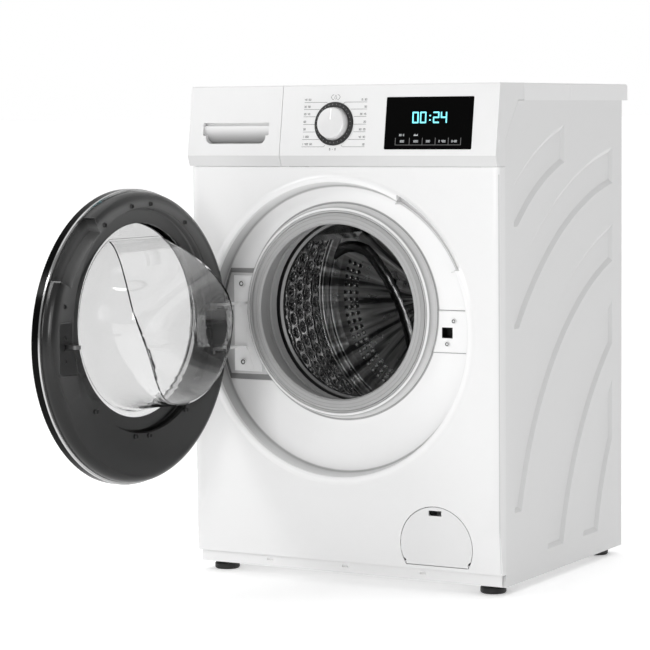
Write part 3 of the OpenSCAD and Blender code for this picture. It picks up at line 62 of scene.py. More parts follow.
HINGE = Vector(JOINTS["door_swing"]["pos_m"])
OPEN = math.radians(-JOINTS["door_swing"]["range_deg"][0])
# Along the open door, away from its hinge
AWAY = Vector((math.cos(OPEN), -math.sin(OPEN), 0))
# Towards the side of the open door that faces the cabinet when shut
INWARD = Vector((math.sin(OPEN), math.cos(OPEN), 0))
DOOR_MIDDLE = Vector((HINGE.x, HINGE.y, DOOR_Z)) + AWAY * (AXIS.x - HINGE.x)

FRONT = Vector((0, 1, 0))
ACROSS = Vector((1, 0, 0))
UP = Vector((0, 0, 1))


def at(x, y, z):
    """A point given in millimetres from the middle of the front plate at floor level."""
    return Vector((x / 1000, FACE + y / 1000, z / 1000))


def door(u, d, z):
    """Millimetres from the hinge axis along the door, towards its inner face, and up from the floor."""
    return Vector((HINGE.x, HINGE.y, 0)) + AWAY * u / 1000 + INWARD * d / 1000 + Vector((0, 0, z / 1000))


def turn(angle, radius, y):
    """A point round the drum's axis: angle in degrees from the right, upwards."""
    a = math.radians(angle)
    return Vector((AXIS.x + radius * math.cos(a), y, AXIS.z + radius * math.sin(a)))


def surface(*names):
    """The faces of some CAD nodes, for finding points on them."""
    verts, faces = [], []
    for n in names:
        mesh = NODES[n].data
        base = len(verts)
        verts += [v.co.copy() for v in mesh.vertices]
        faces += [[base + i for i in p.vertices] for p in mesh.polygons]
    return BVHTree.FromPolygons(verts, faces)


def drop(tree, point, lift=0.00012, way=FRONT):
    """The point where a line along way meets a surface, lifted a little off it."""
    hit, normal, _, _ = tree.ray_cast(point, way)
    if normal.dot(way) > 0:
        normal = -normal
    return hit + normal * lift


# ---------- node trees ----------

class Nodes:
    """A node tree with short calls for what repeats; a value is a number, a vector, a colour or a socket."""

    def __init__(self, tree):
        self.tree = tree

    def add(self, kind, **values):
        node = self.tree.nodes.new(kind)
        for key, value in values.items():
            node.inputs[key].default_value = value
        return node

    def link(self, a, b):
        self.tree.links.new(a, b)

    def feed(self, socket, value):
        """Links an input to another socket, or sets it to a plain value."""
        if isinstance(value, bpy.types.NodeSocket):
            self.link(value, socket)
        else:
            socket.default_value = value

    def work(self, kind, operation, values):
        """A node that does one operation on its first values."""
        node = self.add(kind)
        node.operation = operation
        for socket, value in zip(node.inputs, values):
            self.feed(socket, value)
        return node

    def maths(self, operation, *values):
        return self.work("ShaderNodeMath", operation, values).outputs["Value"]

    def vectors(self, operation, *values):
        node = self.work("ShaderNodeVectorMath", operation, values)
        return node.outputs["Value" if operation == "LENGTH" else "Vector"]

    def split(self, vector):
        """The three parts of a vector, by the names of the axes."""
        node = self.add("ShaderNodeSeparateXYZ")
        self.link(vector, node.inputs[0])
        return node.outputs

    def spread(self, value, low, high, first=0.0, last=1.0, smooth=False):
        """A value carried over from the range low to high to the range first to last."""
        ends = {"From Min": low, "From Max": high, "To Min": first, "To Max": last}
        node = self.add("ShaderNodeMapRange", **ends)
        if smooth:
            node.interpolation_type = "SMOOTHSTEP"
        self.link(value, node.inputs["Value"])
        return node.outputs[0]

    def ramp(self, value, stops):
        """A colour ramp through stops of position and colour."""
        node = self.add("ShaderNodeValToRGB")
        elements = node.color_ramp.elements
        for i, (position, colour) in enumerate(stops):
            stop = elements[i] if i < 2 else elements.new(1)
            stop.position = position
            stop.color = (*colour, 1)
        self.link(value, node.inputs["Fac"])
        return node.outputs["Color"]

    def blend(self, factor, a, b, kind="MIX"):
        """Colour b laid over colour a by a factor."""
        node = self.add("ShaderNodeMix")
        node.data_type = "RGBA"
        node.blend_type = kind
        for i, value in ((0, factor), (6, a), (7, b)):
            self.feed(node.inputs[i], value)
        return node.outputs[2]


# ---------- camera and light ----------

def add_object(name, data):
    """A new object in the scene."""
    obj = bpy.data.objects.new(name, data)
    bpy.context.scene.collection.objects.link(obj)
    return obj


def aim(obj, yaw, pitch, roll):
    """Turns an object like a camera on a stand: round, down and over, in degrees."""
    y, p, r = (math.radians(v) for v in (yaw, pitch, roll))
    forward = Vector((-math.sin(y) * math.cos(p), math.cos(y) * math.cos(p), -math.sin(p)))
    right = Vector((math.cos(y), math.sin(y), 0))
    up = right.cross(forward)
    right, up = right * math.cos(r) + up * math.sin(r), up * math.cos(r) - right * math.sin(r)
    obj.matrix_world = Matrix((right, up, -forward)).transposed().to_4x4()


def photo_camera():
    """The camera, as fitted to the cabinet's corners in the photo."""
    camera = add_object("camera", bpy.data.cameras.new("camera"))
    camera.data.lens = 142.07
    camera.data.sensor_width = 36
    camera.data.clip_end = 1000
    aim(camera, 29.74, 4.69, -0.495)
    camera.matrix_world.translation = (2.12726, -3.79574, 0.80009)
    bpy.context.scene.camera = camera
    view = bpy.context.scene.view_settings
    view.view_transform = "Standard"
    view.look = "None"
    view.exposure = 0
    view.gamma = 1


def area_light(name, place, target, size, watts):
    """A rectangular lamp at a place, turned to a target."""
    lamp = bpy.data.lights.new(name, "AREA")
    lamp.shape = "RECTANGLE"
    lamp.size, lamp.size_y = size
    lamp.energy = watts
    obj = add_object(name, lamp)
    obj.location = place
    obj.rotation_euler = (Vector(target) - Vector(place)).to_track_quat("-Z", "Y").to_euler()


def sun_light(name, strength, spread):
    """Wide, soft light from straight above."""
    lamp = bpy.data.lights.new(name, "SUN")
    lamp.energy = strength
    lamp.angle = math.radians(spread)
    add_object(name, lamp).location = (0, 0, 4)


def studio():
    """White surroundings, darker towards the viewer and towards the right."""
    world = bpy.data.worlds.new("studio")
    bpy.context.scene.world = world
    world.use_nodes = True
    sky = Nodes(world.node_tree)
    background = world.node_tree.nodes["Background"]
    way = sky.split(sky.add("ShaderNodeTexCoord").outputs["Generated"])
    depth = sky.spread(way["Y"], -0.2, 0.55, 0.36, 1.0, smooth=True)
    side = sky.spread(way["X"], 0.1, 0.9, 1.0, 0.31, smooth=True)
    sky.link(sky.maths("MULTIPLY", depth, side), background.inputs["Color"])
    background.inputs["Strength"].default_value = 1.0


photo_camera()
area_light("key", (-3.0, -3.1, 3.0), (0, 0, 0.4), (1.2, 1.2), 45)
area_light("strip", (-3.4, -1.6, 1.1), (-0.2, -0.2, 0.45), (0.5, 1.8), 6)
area_light("drum", (0.25, -2.6, 0.95), (0, 0.1, 0.45), (0.6, 0.6), 11)
area_light("edge", (1.9, -3.9, 1.35), (-0.25, -0.3, 0.45), (0.22, 1.5), 12)
sun_light("down", 0.8, 70)
studio()


# ---------- materials ----------

def srgb(v):
    """A screen value from 0 to 255 as linear light."""
    v = v / 255
    return v / 12.92 if v <= 0.04045 else ((v + 0.055) / 1.055) ** 2.4


def grey(v, warm=0.0):
    """A grey given as a screen value, made a little warmer if asked."""
    return (srgb(v) * (1 + warm), srgb(v), srgb(v) * (1 - warm))


class Paint(Nodes):
    """A node material: colour and roughness wander with one noise, and bump with another."""

    def __init__(self, name, colour, rough=0.4, metal=0.0, vary=0.02, rough_vary=0.06, scale=40.0, grain=0.0,
                 grain_scale=900.0, stretch=(1, 1, 1), **sockets):
        self.material = bpy.data.materials.new(name)
        self.material.use_nodes = True
        super().__init__(self.material.node_tree)
        self.shader = self.tree.nodes["Principled BSDF"]
        self.shader.inputs["Metallic"].default_value = metal
        for key, value in sockets.items():
            self.shader.inputs[key.replace("_", " ")].default_value = value
        self.place = self.add("ShaderNodeTexCoord").outputs["Object"]
        mapping = self.add("ShaderNodeMapping", Scale=stretch)
        self.link(self.place, mapping.inputs["Vector"])
        noise = self.noise(mapping.outputs[0], Scale=scale, Detail=4.0, Roughness=0.55)
        low = [max(0.0, c * (1 - vary)) for c in colour]
        high = [min(1.0, c * (1 + vary)) for c in colour]
        self.colour = self.blend(noise, (*low, 1), (*high, 1))
        self.use("Base Color", self.colour)
        smoothest, roughest = max(0.0, rough - rough_vary), min(1.0, rough + rough_vary)
        self.use("Roughness", self.spread(noise, 0.0, 1.0, smoothest, roughest))
        if grain:
            self.bump(self.noise(mapping.outputs[0], Scale=grain_scale, Detail=3.0), grain, 0.0004)

    def noise(self, vector, **values):
        node = self.add("ShaderNodeTexNoise", **values)
        self.link(vector, node.inputs["Vector"])
        return node.outputs["Fac"]

    def bump(self, height, strength, distance):
        node = self.add("ShaderNodeBump", Strength=strength, Distance=distance)
        self.link(height, node.inputs["Height"])
        self.use("Normal", node.outputs[0])

    def use(self, name, socket):
        """Feeds an input of the shader."""
        self.link(socket, self.shader.inputs[name])


def paint(*args, **kwargs):
    return Paint(*args, **kwargs).material


FINE = dict(vary=0.008, grain=0.06, grain_scale=500)
COAT = dict(Coat_Weight=0.25, Coat_Roughness=0.12)
CLEAR = dict(vary=0.005, rough_vary=0.003, Transmission_Weight=1.0)
MOULDED = dict(vary=0.01, grain=0.05, grain_scale=1500)
M = {
    "enamel": paint("white_enamel", grey(241), 0.32, **FINE, **COAT),
    "side": paint("side_enamel", grey(230), 0.42, **FINE),
    "fascia": paint("white_plastic", grey(232), 0.38, **MOULDED),
    "band": paint("panel_band", grey(214), 0.38, **MOULDED),
    "laminate": paint("white_laminate", grey(240), 0.45, vary=0.01, grain=0.15, grain_scale=1200),
    "bracket": paint("plated_steel", grey(244), 0.36, vary=0.03, grain=0.05),
    "silver": paint("silver_plastic", grey(226), 0.3, metal=0.1, vary=0.015, grain=0.03),
    "dark": paint("dark_plastic", grey(22), 0.5, vary=0.08, grain=0.2, grain_scale=1400),
    "gloss_black": paint("black_glass", grey(5), 0.16, vary=0.1, rough_vary=0.02, Specular_IOR_Level=0.05),
    "chrome": paint("chrome_trim", grey(190), 0.16, metal=1.0, rough_vary=0.04),
    "steel": paint("steel", grey(170), 0.3, metal=1.0, vary=0.05),
    "dark_steel": paint("dark_steel", grey(110), 0.38, metal=1.0, vary=0.08),
    "stainless": paint("drum_steel", grey(196), 0.2, metal=1.0, vary=0.05, rough_vary=0.05, scale=30,
                       stretch=(1, 6, 1)),
    # Painted shade: the drum's front lip is a darker copy of the drum steel, standing in for the gasket's
    # shadow on it
    "mouth_steel": paint("mouth_steel", grey(122), 0.36, metal=1.0, vary=0.05, scale=30),
    "blackened": paint("blackened_steel", grey(58), 0.3, metal=0.9, vary=0.1),
    "dimpled": paint("dimpled_steel", grey(196), 0.13, metal=1.0, vary=0.05, rough_vary=0.03, scale=30),
    # Painted shade and reflection: a darker copy of the drum-back steel for the star ridges, standing in for
    # their unlit walls and dark reflection
    "star_ridge_steel_painted_shade": paint("dark_pressing", grey(92), 0.22, metal=1.0, vary=0.06, rough_vary=0.05, scale=30),
    "glass": paint("clear_glass", grey(234), 0.003, IOR=1.5, **CLEAR),
    "window": paint("window_glass", grey(241), 0.003, IOR=1.3, **CLEAR),
    "gasket": paint("grey_rubber", grey(174), 0.5, vary=0.03, grain=0.12),
    # Grey for seam lines, also used for painted shadow lines
    "seam": paint("seam_grey", grey(150), 0.6, vary=0.08),
    "soft_seam": paint("soft_seam", grey(208), 0.5, vary=0.03),
    "rubber": paint("black_rubber", grey(34), 0.65, vary=0.1, grain=0.3, grain_scale=1000),
    "tub": paint("tub_plastic", grey(196), 0.5, vary=0.03, grain=0.1),
    "concrete": paint("concrete", grey(150, 0.02), 0.9, vary=0.16, scale=120, grain=0.7, grain_scale=500),
    "cast": paint("cast_aluminium", grey(176), 0.45, metal=1.0, vary=0.06, grain=0.3, grain_scale=1400),
    "board": paint("circuit_board", (0.02, 0.13, 0.05), 0.4, vary=0.25, scale=300),
    "white_parts": paint("white_parts", grey(228), 0.45, vary=0.015, grain=0.06),
    "galvanised": paint("galvanised", grey(186), 0.38, metal=0.9, vary=0.1, scale=90),
    "hose": paint("grey_hose", grey(150), 0.55, vary=0.04, grain=0.1),
    # Painted shade: a near-black for the insides of holes and driver recesses, standing in for the shade in
    # them
    "hole_shade_ink": paint("dark_hole", grey(8), 0.8, vary=0.1),
    "print": paint("grey_print", grey(70), 0.6, vary=0.1),
    "dim": paint("dim_line", grey(105), 0.5, vary=0.1),
    "notch": paint("notch_grey", grey(150), 0.35, vary=0.1),
    "cyan": paint("cyan_light", (0.18, 0.75, 0.85), 0.5, vary=0.05, Emission_Color=(0.22, 0.82, 0.95, 1),
                  Emission_Strength=0.85),
    "pale": paint("pale_light", grey(150), 0.5, vary=0.05, Emission_Color=(0.6, 0.65, 0.68, 1),
                  Emission_Strength=0.35),
    # Painted light: the knob's pointer line glows a little, though it is no lamp
    "white_line": paint("white_line", grey(250), 0.5, vary=0.01, Emission_Color=(1, 1, 1, 1),
                        Emission_Strength=0.25),
    "floor": paint("pale_floor", grey(252), 0.85, vary=0.004, scale=3, Emission_Color=(1, 1, 1, 1),
                   Emission_Strength=0.3),
}


def streaked():
    """Pressed steel whose shading runs in streaks towards the drum's middle."""
    p = Paint("streaked_steel", grey(120), 0.3, metal=1.0, vary=0.35, rough_vary=0.1)
    away = p.vectors("SUBTRACT", p.place, AXIS)
    part = p.split(away)
    polar = p.add("ShaderNodeCombineXYZ")
    p.link(p.maths("MULTIPLY", p.maths("ARCTAN2", part["Z"], part["X"]), 5.0), polar.inputs["X"])
    p.link(p.maths("MULTIPLY", p.vectors("LENGTH", away), 9.0), polar.inputs["Y"])
    streaks = p.noise(polar.outputs[0], Scale=1.6, Detail=5.0, Distortion=0.8)
    p.use("Base Color", p.ramp(streaks, [(0.38, grey(70)), (0.7, grey(236))]))
    p.bump(streaks, 0.5, 0.004)
    return p.material


def painted_light_by_height(name, heights, tones, rough, spec=0.5, rings=()):
    """Plastic with painted light and shade: its grey changes between two heights, and may vary with the
    radius from the door's middle.
    """
    p = Paint(name, grey(tones[0]), rough, grain=0.1, grain_scale=1400, Specular_IOR_Level=spec)
    tone = p.spread(p.split(p.place)["Z"], *heights, *(srgb(v) for v in tones), smooth=True)
    if rings:
        flat = p.vectors("CROSS_PRODUCT", p.vectors("SUBTRACT", p.place, DOOR_MIDDLE), INWARD)
        shares = p.ramp(p.vectors("LENGTH", flat), [(r, (share, share, share)) for r, share in rings])
        tone = p.maths("MULTIPLY", tone, shares)
    p.use("Base Color", tone)
    return p.material


# Radius and tone of the painted shade and highlight rings on the collar, from the opening outwards
COLLAR_SHADE_RINGS = [(0.165, 205), (0.1725, 205), (0.1743, 244), (0.1765, 244), (0.1775, 158), (0.1795, 208),
                (0.1817, 236), (0.1842, 220), (0.186, 150), (0.1878, 255)]
# Radius and tone of the painted shade and highlight rings at the foot and mouth of the recess
RECESS_SHADE_RINGS = [(0.2415, 255), (0.2447, 176), (0.2468, 222), (0.2505, 240), (0.253, 255), (0.257, 255),
                (0.262, 246)]


def enamel_with_painted_shade():
    """The front's enamel with painted shade: greyer on the collar, round and left in the recess, and in the
    finger scoop, with lighter bands between the dark rings as painted highlight.
    """
    p = Paint("white_enamel", grey(246), 0.32, **FINE, **COAT)
    colour = p.colour
    # Rings of painted shade and highlight round the collar and the recess
    for centre, low, high, rings in ((AXIS, 0.165, 0.19, COLLAR_SHADE_RINGS),
                                     (RECESS_MIDDLE, 0.235, 0.265, RECESS_SHADE_RINGS)):
        flat = p.vectors("MULTIPLY", p.vectors("SUBTRACT", p.place, centre), (1, 0, 1))
        radius = p.vectors("LENGTH", flat)
        stops = [((r - low) / (high - low), grey(tone)) for r, tone in rings]
        colour = p.blend(1.0, colour, p.ramp(p.spread(radius, low, high), stops), "MULTIPLY")
    part = p.split(p.place)

    def within(*tests):
        """One where every test of value, kind and limit holds, else zero."""
        factor, *others = [p.maths(kind, value, limit) for value, kind, limit in tests]
        for other in others:
            factor = p.maths("MULTIPLY", factor, other)
        return factor

    x, y, z = part["X"], part["Y"], part["Z"]
    # Painted shade: the left of the recess darkens outwards, where the open door's shadow falls; the slopes
    # of the hinge pocket there are darker still, as walls in shade
    side = p.spread(x, -0.255, -0.14, srgb(190), 1.0)
    left = within((y, "GREATER_THAN", FACE + 0.004), (x, "LESS_THAN", -0.14), (z, "GREATER_THAN", 0.18))
    pocket_slope_shade = within((y, "GREATER_THAN", FACE + 0.0244), (y, "LESS_THAN", FACE + 0.0316),
                           (x, "LESS_THAN", -0.15))
    # Painted shade in the finger scoop
    scoop_shade = within((radius, "GREATER_THAN", 0.2478), (radius, "LESS_THAN", 0.2605),
                   (x, "GREATER_THAN", 0.109), (z, "GREATER_THAN", 0.541))
    for factor, tone in ((left, side), (pocket_slope_shade, p.maths("MULTIPLY", side, srgb(196))),
                         (scoop_shade, (*grey(200), 1))):
        colour = p.blend(factor, colour, tone, "MULTIPLY")
    p.use("Base Color", colour)
    return p.material


M["streaked"] = streaked()
# Painted reflection and shade on the door frame: lighter towards its top, with a dark ring near the opening
# and a dark outer shoulder round a lighter flat face
M["black"] = painted_light_by_height("black_plastic", (0.25, 0.66), (14, 98), 0.24, 0.42, [
    (0.0, 0.5), (0.181, 0.55), (0.184, 0.12), (0.188, 0.75), (0.222, 1.0), (0.231, 0.35), (0.24, 0.12)])
# Painted shade: the grip's hollow darkens towards its bottom
M["grip"] = painted_light_by_height("grip_plastic_painted_shade", (0.757, 0.783), (150, 238), 0.38)
M["front"] = enamel_with_painted_shade()

USES = {
    "front": "front_plate",
    "enamel": "base_pan",
    "side": "side_panel_left side_panel_right back_panel",
    "laminate": "worktop",
    "fascia": "control_panel drawer_front filter_flap",
    "bracket": "hinge_bracket door_hinge",
    "silver": "selector_knob front_screws",
    "black": "door_frame",
    "dark": "selector_ring latch_plate door_lock levelling_feet mains_gland motor_housing damper_tubes",
    "gloss_black": "display_window door_ring",
    "chrome": "door_trim",
    "dark_steel": "latch_hook motor_rotor",
    "blackened": "door_screws",
    "steel": "damper_rods suspension_springs drum_bearings drum_shaft heater",
    "stainless": "drum_shell drum_lifters",
    "mouth_steel": "drum_front",
    "streaked": "drum_back",
    "glass": "door_glass",
    "window": "door_window",
    "gasket": "door_gasket",
    "rubber": "drive_belt sump_hose fill_hose shaft_seal inlet_hose",
    "tub": "tub_front tub_rear",
    "concrete": "counterweights",
    "cast": "drum_spider drum_pulley",
    "board": "control_board",
    "white_parts": "dispenser_housing drawer_tray pump_housing drain_pump inlet_valve transit_caps "
                   "filter_cap",
    "galvanised": "top_rails rear_cover",
    "hose": "drain_hose",
}
for key, names in USES.items():
    for name in names.split():
        materials = NODES[name].data.materials
        materials.clear()
        materials.append(M[key])


# ---------- smooth shading ----------

def smoothing_group(angle):
    """Geometry nodes that smooth a mesh, apart from edges sharper than an angle."""
    tree = bpy.data.node_groups.new("smooth_by_angle", "GeometryNodeTree")
    for way in ("INPUT", "OUTPUT"):
        tree.interface.new_socket("Geometry", in_out=way, socket_type="NodeSocketGeometry")
    start = tree.nodes.new("NodeGroupInput")
    end = tree.nodes.new("NodeGroupOutput")
    plain = tree.nodes.new("GeometryNodeRemoveAttribute")
    plain.inputs["Name"].default_value = "custom_normal"
    faces = tree.nodes.new("GeometryNodeSetShadeSmooth")
    faces.domain = "FACE"
    edges = tree.nodes.new("GeometryNodeSetShadeSmooth")
    edges.domain = "EDGE"
    measure = tree.nodes.new("GeometryNodeInputMeshEdgeAngle")
    below = tree.nodes.new("FunctionNodeCompare")
    below.operation = "LESS_THAN"
    below.inputs["B"].default_value = math.radians(angle)
    for a, b in ((start.outputs[0], plain.inputs["Geometry"]),
                 (plain.outputs[0], faces.inputs["Geometry"]),
                 (faces.outputs[0], edges.inputs["Geometry"]),
                 (measure.outputs["Unsigned Angle"], below.inputs["A"]),
                 (below.outputs[0], edges.inputs["Shade Smooth"]),
                 (edges.outputs[0], end.inputs[0])):
        tree.links.new(a, b)
    return tree


SMOOTH = smoothing_group(28)
BEVELS = {"worktop": 0.0012, "control_panel": 0.0005, "drawer_front": 0.0005, "hinge_bracket": 0.0004,
          "door_frame": 0.0004, "filter_flap": 0.0004, "display_window": 0.0005, "latch_plate": 0.0003}


def soften(obj, bevel=0.0, weld=True):
    """Shades a mesh smoothly, with small round edges where a bevel is given."""
    if weld:
        obj.modifiers.new("weld", "WELD").merge_threshold = 0.00001
    if bevel:
        edge = obj.modifiers.new("edge", "BEVEL")
        edge.width = bevel
        edge.segments = 2
        edge.limit_method = "ANGLE"
        edge.angle_limit = math.radians(35)
    obj.modifiers.new("smooth", "NODES").node_group = SMOOTH
    even = obj.modifiers.new("even", "WEIGHTED_NORMAL")
    even.mode = "FACE_AREA"
    even.weight = 100
    even.keep_sharp = True


for name, obj in NODES.items():
    soften(obj, BEVELS.get(name, 0.0))


# ---------- building blocks for new pieces ----------

def piece(name, verts, faces, materials, body, slots=None, smooth=True, weld=False):
    """A new mesh that rides on a body; slots has a material's number for each face."""
    mesh = bpy.data.meshes.new(name)
    mesh.from_pydata([tuple(v) for v in verts], [], faces)
    for m in materials if isinstance(materials, list) else [materials]:
        mesh.materials.append(m)
    if slots:
        mesh.polygons.foreach_set("material_index", slots)
    mesh.validate()
    mesh.update()
    obj = add_object(name, mesh)
    if smooth:
        soften(obj, weld=weld)
    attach(obj, body)
    return obj


def strips(verts_across, rows, closed=False, base=0):
    """Faces between rows of points that lie one after another, the last row joined to the first if closed."""
    faces = []
    for i in range(rows if closed else rows - 1):
        a = base + i * verts_across
        b = base + (i + 1) % rows * verts_across
        faces += [(a + k, b + k, b + k + 1, a + k + 1) for k in range(verts_across - 1)]
    return faces


def lathe(profile, steps):
    """A profile of radius and depth turned round the drum's axis."""
    verts = [turn(360 * i / steps, r, y) for i in range(steps) for r, y in profile]
    return verts, [(a, d, c, b) for a, b, c, d in strips(len(profile), steps, closed=True)]


def bead(path, width, height, place):
    """A low rounded rib laid along a path; place(a, b, lift) gives the surface."""
    section = [(-0.5, -0.3), (-0.42, 0.5), (-0.18, 0.95), (0.18, 0.95), (0.42, 0.5), (0.5, -0.3)]
    verts = []
    for i, (a, b) in enumerate(path):
        (a0, b0), (a1, b1) = path[max(i - 1, 0)], path[min(i + 1, len(path) - 1)]
        length = math.hypot(a1 - a0, b1 - b0)
        na, nb = -(b1 - b0) / length, (a1 - a0) / length
        for w, h in section:
            verts.append(place(a + na * w * width, b + nb * w * width, h * height / 1000))
    return verts, strips(len(section), len(path))


def rounded_path(points, steps):
    """Cuts the corners of a path with short arcs; a corner is (a, b, radius)."""
    out = []
    for i, p in enumerate(points):
        if len(p) == 2:
            out.append(p)
            continue
        a, b, r = p
        ends = []
        for other in (points[i - 1], points[i + 1]):
            length = math.hypot(other[0] - a, other[1] - b)
            ends.append((a + (other[0] - a) / length * r, b + (other[1] - b) / length * r))
        (a0, b0), (a1, b1) = ends
        for k in range(steps + 1):
            t = k / steps
            out.append(((1 - t) ** 2 * a0 + 2 * t * (1 - t) * a + t * t * a1,
                        (1 - t) ** 2 * b0 + 2 * t * (1 - t) * b + t * t * b1))
    return out


class Discs:
    """Small round heads and holes gathered in one mesh."""

    around = 14

    def __init__(self):
        self.verts, self.faces, self.slots = [], [], []

    def add(self, centre, normal, side, rings, inks):
        """Rings of radius and height from outside to inside; inks has one for each band, then the middle."""
        other = normal.cross(side).normalized()
        base, n = len(self.verts), self.around
        for r, h in rings:
            for k in range(n):
                t = 2 * math.pi * k / n
                self.verts.append(centre + (side * math.cos(t) + other * math.sin(t)) * r + normal * h)
        for step in range(len(rings) - 1):
            for k in range(n):
                a, b = base + step * n + k, base + step * n + (k + 1) % n
                self.faces.append((a, b, b + n, a + n))
                self.slots.append(inks[step])
        last = base + (len(rings) - 1) * n
        self.faces.append(tuple(range(last, last + n)))
        self.slots.append(inks[-1])

    def make(self, name, materials, body, slot):
        piece(name, self.verts, self.faces, materials, body, slots=self.slots)


class Marks:
    """Flat printed marks gathered in one mesh; place turns flat coordinates in millimetres into a point."""

    # Ends of a digit's seven bars, in widths and half heights, and the bars that make each digit
    bars = {"a": ((0, 2), (1, 2)), "b": ((1, 2), (1, 1)), "c": ((1, 1), (1, 0)), "d": ((0, 0), (1, 0)),
            "e": ((0, 0), (0, 1)), "f": ((0, 1), (0, 2)), "g": ((0, 1), (1, 1))}
    lit = {"0": "abcdef", "1": "bc", "2": "abged", "3": "abgcd", "4": "fgbc", "5": "afgcd", "6": "afgecd",
           "7": "abc", "8": "abcdefg", "9": "abcdfg", "-": "g"}
    # Width of a digit and the space after it, as shares of its height
    wide, space = 0.56, 0.3

    def __init__(self, place):
        self.place, self.verts, self.faces, self.slots = place, [], [], []

    def fill(self, outline, ink=0):
        base = len(self.verts)
        self.verts += [self.place(x, z) for x, z in outline]
        self.faces.append(tuple(range(base, base + len(outline))))
        self.slots.append(ink)

    def stroke(self, points, width, ink=0):
        for (x0, z0), (x1, z1) in zip(points, points[1:]):
            length = math.hypot(x1 - x0, z1 - z0)
            ux, uz = (x1 - x0) / length * width / 2, (z1 - z0) / length * width / 2
            self.fill([(x0 - ux - uz, z0 - uz + ux), (x0 - ux + uz, z0 - uz - ux),
                       (x1 + ux + uz, z1 + uz - ux), (x1 + ux - uz, z1 + uz + ux)], ink)

    def colon(self, x, z, high, width, ink=0):
        for f in (0.28, 0.72):
            self.stroke([(x - width * 0.1, z + high * f), (x + width * 0.1, z + high * f)], width, ink)

    def number(self, text, x, z, high, width, ink=0, slant=0.0):
        """Digits built from up to seven bars each, with small gaps between wide bars."""
        gap = 0.06 if width > 1 else 0.0
        wide = high * self.wide
        for c in text:
            for bar in self.lit.get(c, ""):
                (a0, b0), (a1, b1) = self.bars[bar]
                da, db = (a1 - a0) * gap, (b1 - b0) * gap
                ends = [(a0 + da, b0 + db), (a1 - da, b1 - db)]
                self.stroke([(x + a * wide + b * slant, z + b * high / 2) for a, b in ends], width, ink)
            x += wide + high * self.space

    def make(self, name, materials, body):
        piece(name, self.verts, self.faces, materials, body, slots=self.slots, smooth=False)


# ---------- the two leaning faces of the panel ----------

# Height where the leaning face starts, how far it stands out there, and its slope
PANEL_FOOT_Z = 0.731
PANEL_REACH = 0.012
PANEL_LEAN = 18 / 119
# Half the width to look at round each inner rib, and the height that the ribs' corners lie above
RIB_HALF = 0.0045
RIB_FOOT_Z = 0.74
DRAWER_RIBS = (-0.281, -0.124)
PANEL_RIBS = (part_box("drawer_front")[1].x + 0.0015,)
# The hollow behind the drawer's grip
GRIP_X = (-0.253, -0.151)
GRIP_Z = (0.752, 0.7875)
GRIP_DEPTH = 0.016


def lean(z):
    """Depth of the panel's leaning face at a height."""
    return FACE - PANEL_REACH + (z - PANEL_FOOT_Z) * PANEL_LEAN


def in_grip(c):
    """Whether a face's middle lies in the hollow behind the grip."""
    return (GRIP_X[0] < c.x < GRIP_X[1] and GRIP_Z[0] < c.z < GRIP_Z[1]
            and lean(c.z) + 0.0003 < c.y < FACE + GRIP_DEPTH)


def flush(name, source, body, ribs):
    """A CAD node again, with the corners of its inner ribs drawn back into its leaning face."""
    mesh = NODES[source].data.copy()
    mesh.materials.append(M["band"])
    mesh.materials.append(M["grip"])
    for p in mesh.polygons:
        if p.center.z < PANEL_FOOT_Z + 0.0001 and p.normal.y < -0.5:
            p.material_index = 1
        # Faces of the grip's hollow take the plastic with painted shade towards its bottom
        elif name == "drawer_face" and in_grip(p.center):
            p.material_index = 2
    for v in mesh.vertices:
        near = any(abs(v.co.x - x) < RIB_HALF for x in ribs)
        if near and v.co.z > RIB_FOOT_Z and v.co.y < lean(v.co.z) - 0.0002:
            v.co.y = lean(v.co.z)
    mesh.update()
    obj = add_object(name, mesh)
    soften(obj, BEVELS[source])
    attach(obj, body)
    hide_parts(source)


flush("drawer_face", "drawer_front", "drawer", DRAWER_RIBS)
flush("panel_face", "control_panel", "cabinet", PANEL_RIBS)


# ---------- the drum's perforated wall ----------

# Radius and lift outwards of the rings from a dimple's rim down into its hole
DIMPLE = [(0.0112, 0.0), (0.0104, 0.0011), (0.0095, 0.0008), (0.0074, -0.0012), (0.0052, -0.0019),
          (0.0036, -0.0012), (0.0028, 0.0008), (0.0025, 0.0032)]
DIMPLE_ROWS, DIMPLE_COLUMNS = 58, 9
# Plain margin at the wall's front, from the plate's face, and at its back
FRONT_MARGIN, BACK_MARGIN = 0.1025, 0.0085
SHEET = 0.0006


def square_rim(steps):
    """Points round a square from -1 to 1, with some steps on each side."""
    rim = []
    for side in range(4):
        for k in range(steps):
            t = k / steps * 2 - 1
            rim.append([(1, t), (-t, 1), (-1, -t), (t, -1)][side])
    return rim


